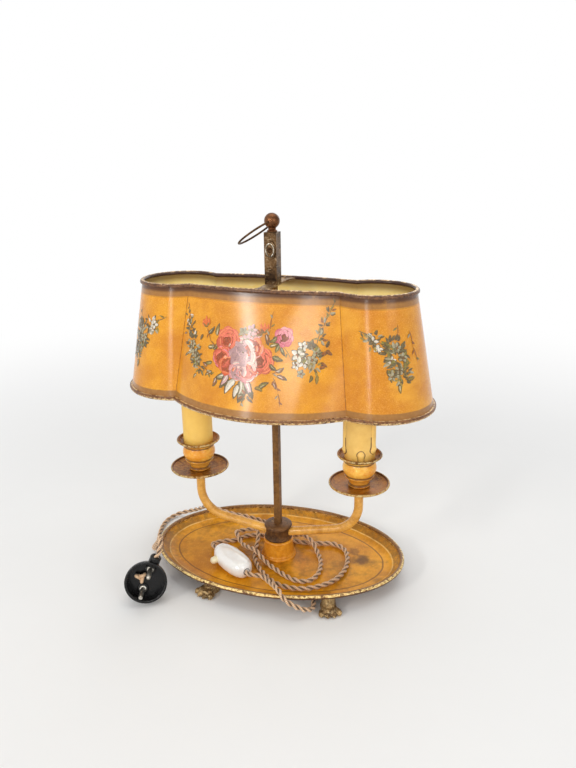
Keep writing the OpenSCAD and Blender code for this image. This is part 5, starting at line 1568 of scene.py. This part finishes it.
glaze = smooth_finish("white_glaze", rgb(250, 249, 246), rgb(240, 238, 232), 30.0, 0.10, 0.6, 0.00003, 0.05)
cream = smooth_finish("cream_moulding", rgb(240, 230, 196), rgb(224, 208, 160), 30.0, 0.3, 0.2)
black = smooth_finish("black_moulding", rgb(14, 13, 14), rgb(7, 7, 7), 30.0, 0.2, 0.15, 0.00004, 0.1,
                      **{"Specular IOR Level": 0.25})
rubber = smooth_finish("black_rubber", rgb(34, 32, 30), rgb(22, 20, 18), 40.0, 0.6)
wire_cover = smooth_finish("wire_cover", rgb(74, 62, 50), rgb(48, 38, 30), 40.0, 0.6)

build_tray(make_tray_paint(), under_tin)
build_tray_rim(rim_paint("tray_gilding", rgb(248, 222, 150), rgb(92, 52, 18), rgb(186, 134, 58), kept=0.9))
build_feet(gilt_feet)
build_hub(hub_paint, collar_brown)
build_finial(ball_brass, dark_brass)
build_arms(arm_paint, bronze, cup_finish())
build_candle("left", -1, wax_plain, ())
build_candle("right", 1, wax_run, ((200, 0.90, 2.2, 13), (336, 0.86, 2.2, 13), (284, -0.16, 1.7, 10),
                                   (240, 0.36, 1.0, 7), (60, 0.66, 2.0, 11), (130, 0.5, 1.8, 10)))
build_shade(make_shade_paint(), make_shade_lining())
build_shade_rim("shade_low_bead", "shade_low_rim", LOW, SHADE_Z, -1, 5.8,
                rim_paint("low_bead_gilding", rgb(244, 214, 152), rgb(84, 44, 18), rgb(168, 112, 54),
                          kept=0.82, gilt=(0.3, 0.85)))
build_shade_rim("shade_top_bead", "shade_top_rim", TOP, BAR_Z, 1, 4.4,
                rim_paint("top_bead_gilding", rgb(246, 214, 156), rgb(58, 28, 12), rgb(156, 104, 58),
                          kept=0.72, gilt=(0.36, 0.64)))
brush = brush_material()
paint_broad_lobe(-1, 3).finish("garland_front", brush)
paint_broad_lobe(1, 8).finish("garland_back", brush)
paint_side_lobe(-1, 5).finish("garland_left", brush)
paint_side_lobe(1, 6).finish("garland_right", brush)
build_switch(glaze, cream, rubber)
build_plug(black, nickel, braid)

build_catch_frame(bare_silver)
for node, finish, bevel in (
        ("stem", stem_brown, 0.35), ("stem_washer", fresh_brass, 0.15), ("stem_nut", fresh_brass, 0.25),
        ("nipples", fresh_brass, 0), ("cross_bar", strap_metal, 0.3), ("bar_rivets", strap_metal, 0),
        ("sleeve", sleeve_metal, 0.4), ("catch_plate", sleeve_metal, 0.3), ("catch_button", dark_brass, 0.3),
        ("catch_spring", spring_steel, 0), ("grommet", rubber, 0.3), ("arm_wires", wire_cover, 0),
        ("holder_left", glaze, 0.3), ("holder_right", glaze, 0.3),
        ("contact_left", fresh_brass, 0.1), ("contact_right", fresh_brass, 0.1)):
    dress_node(node, finish, bevel)
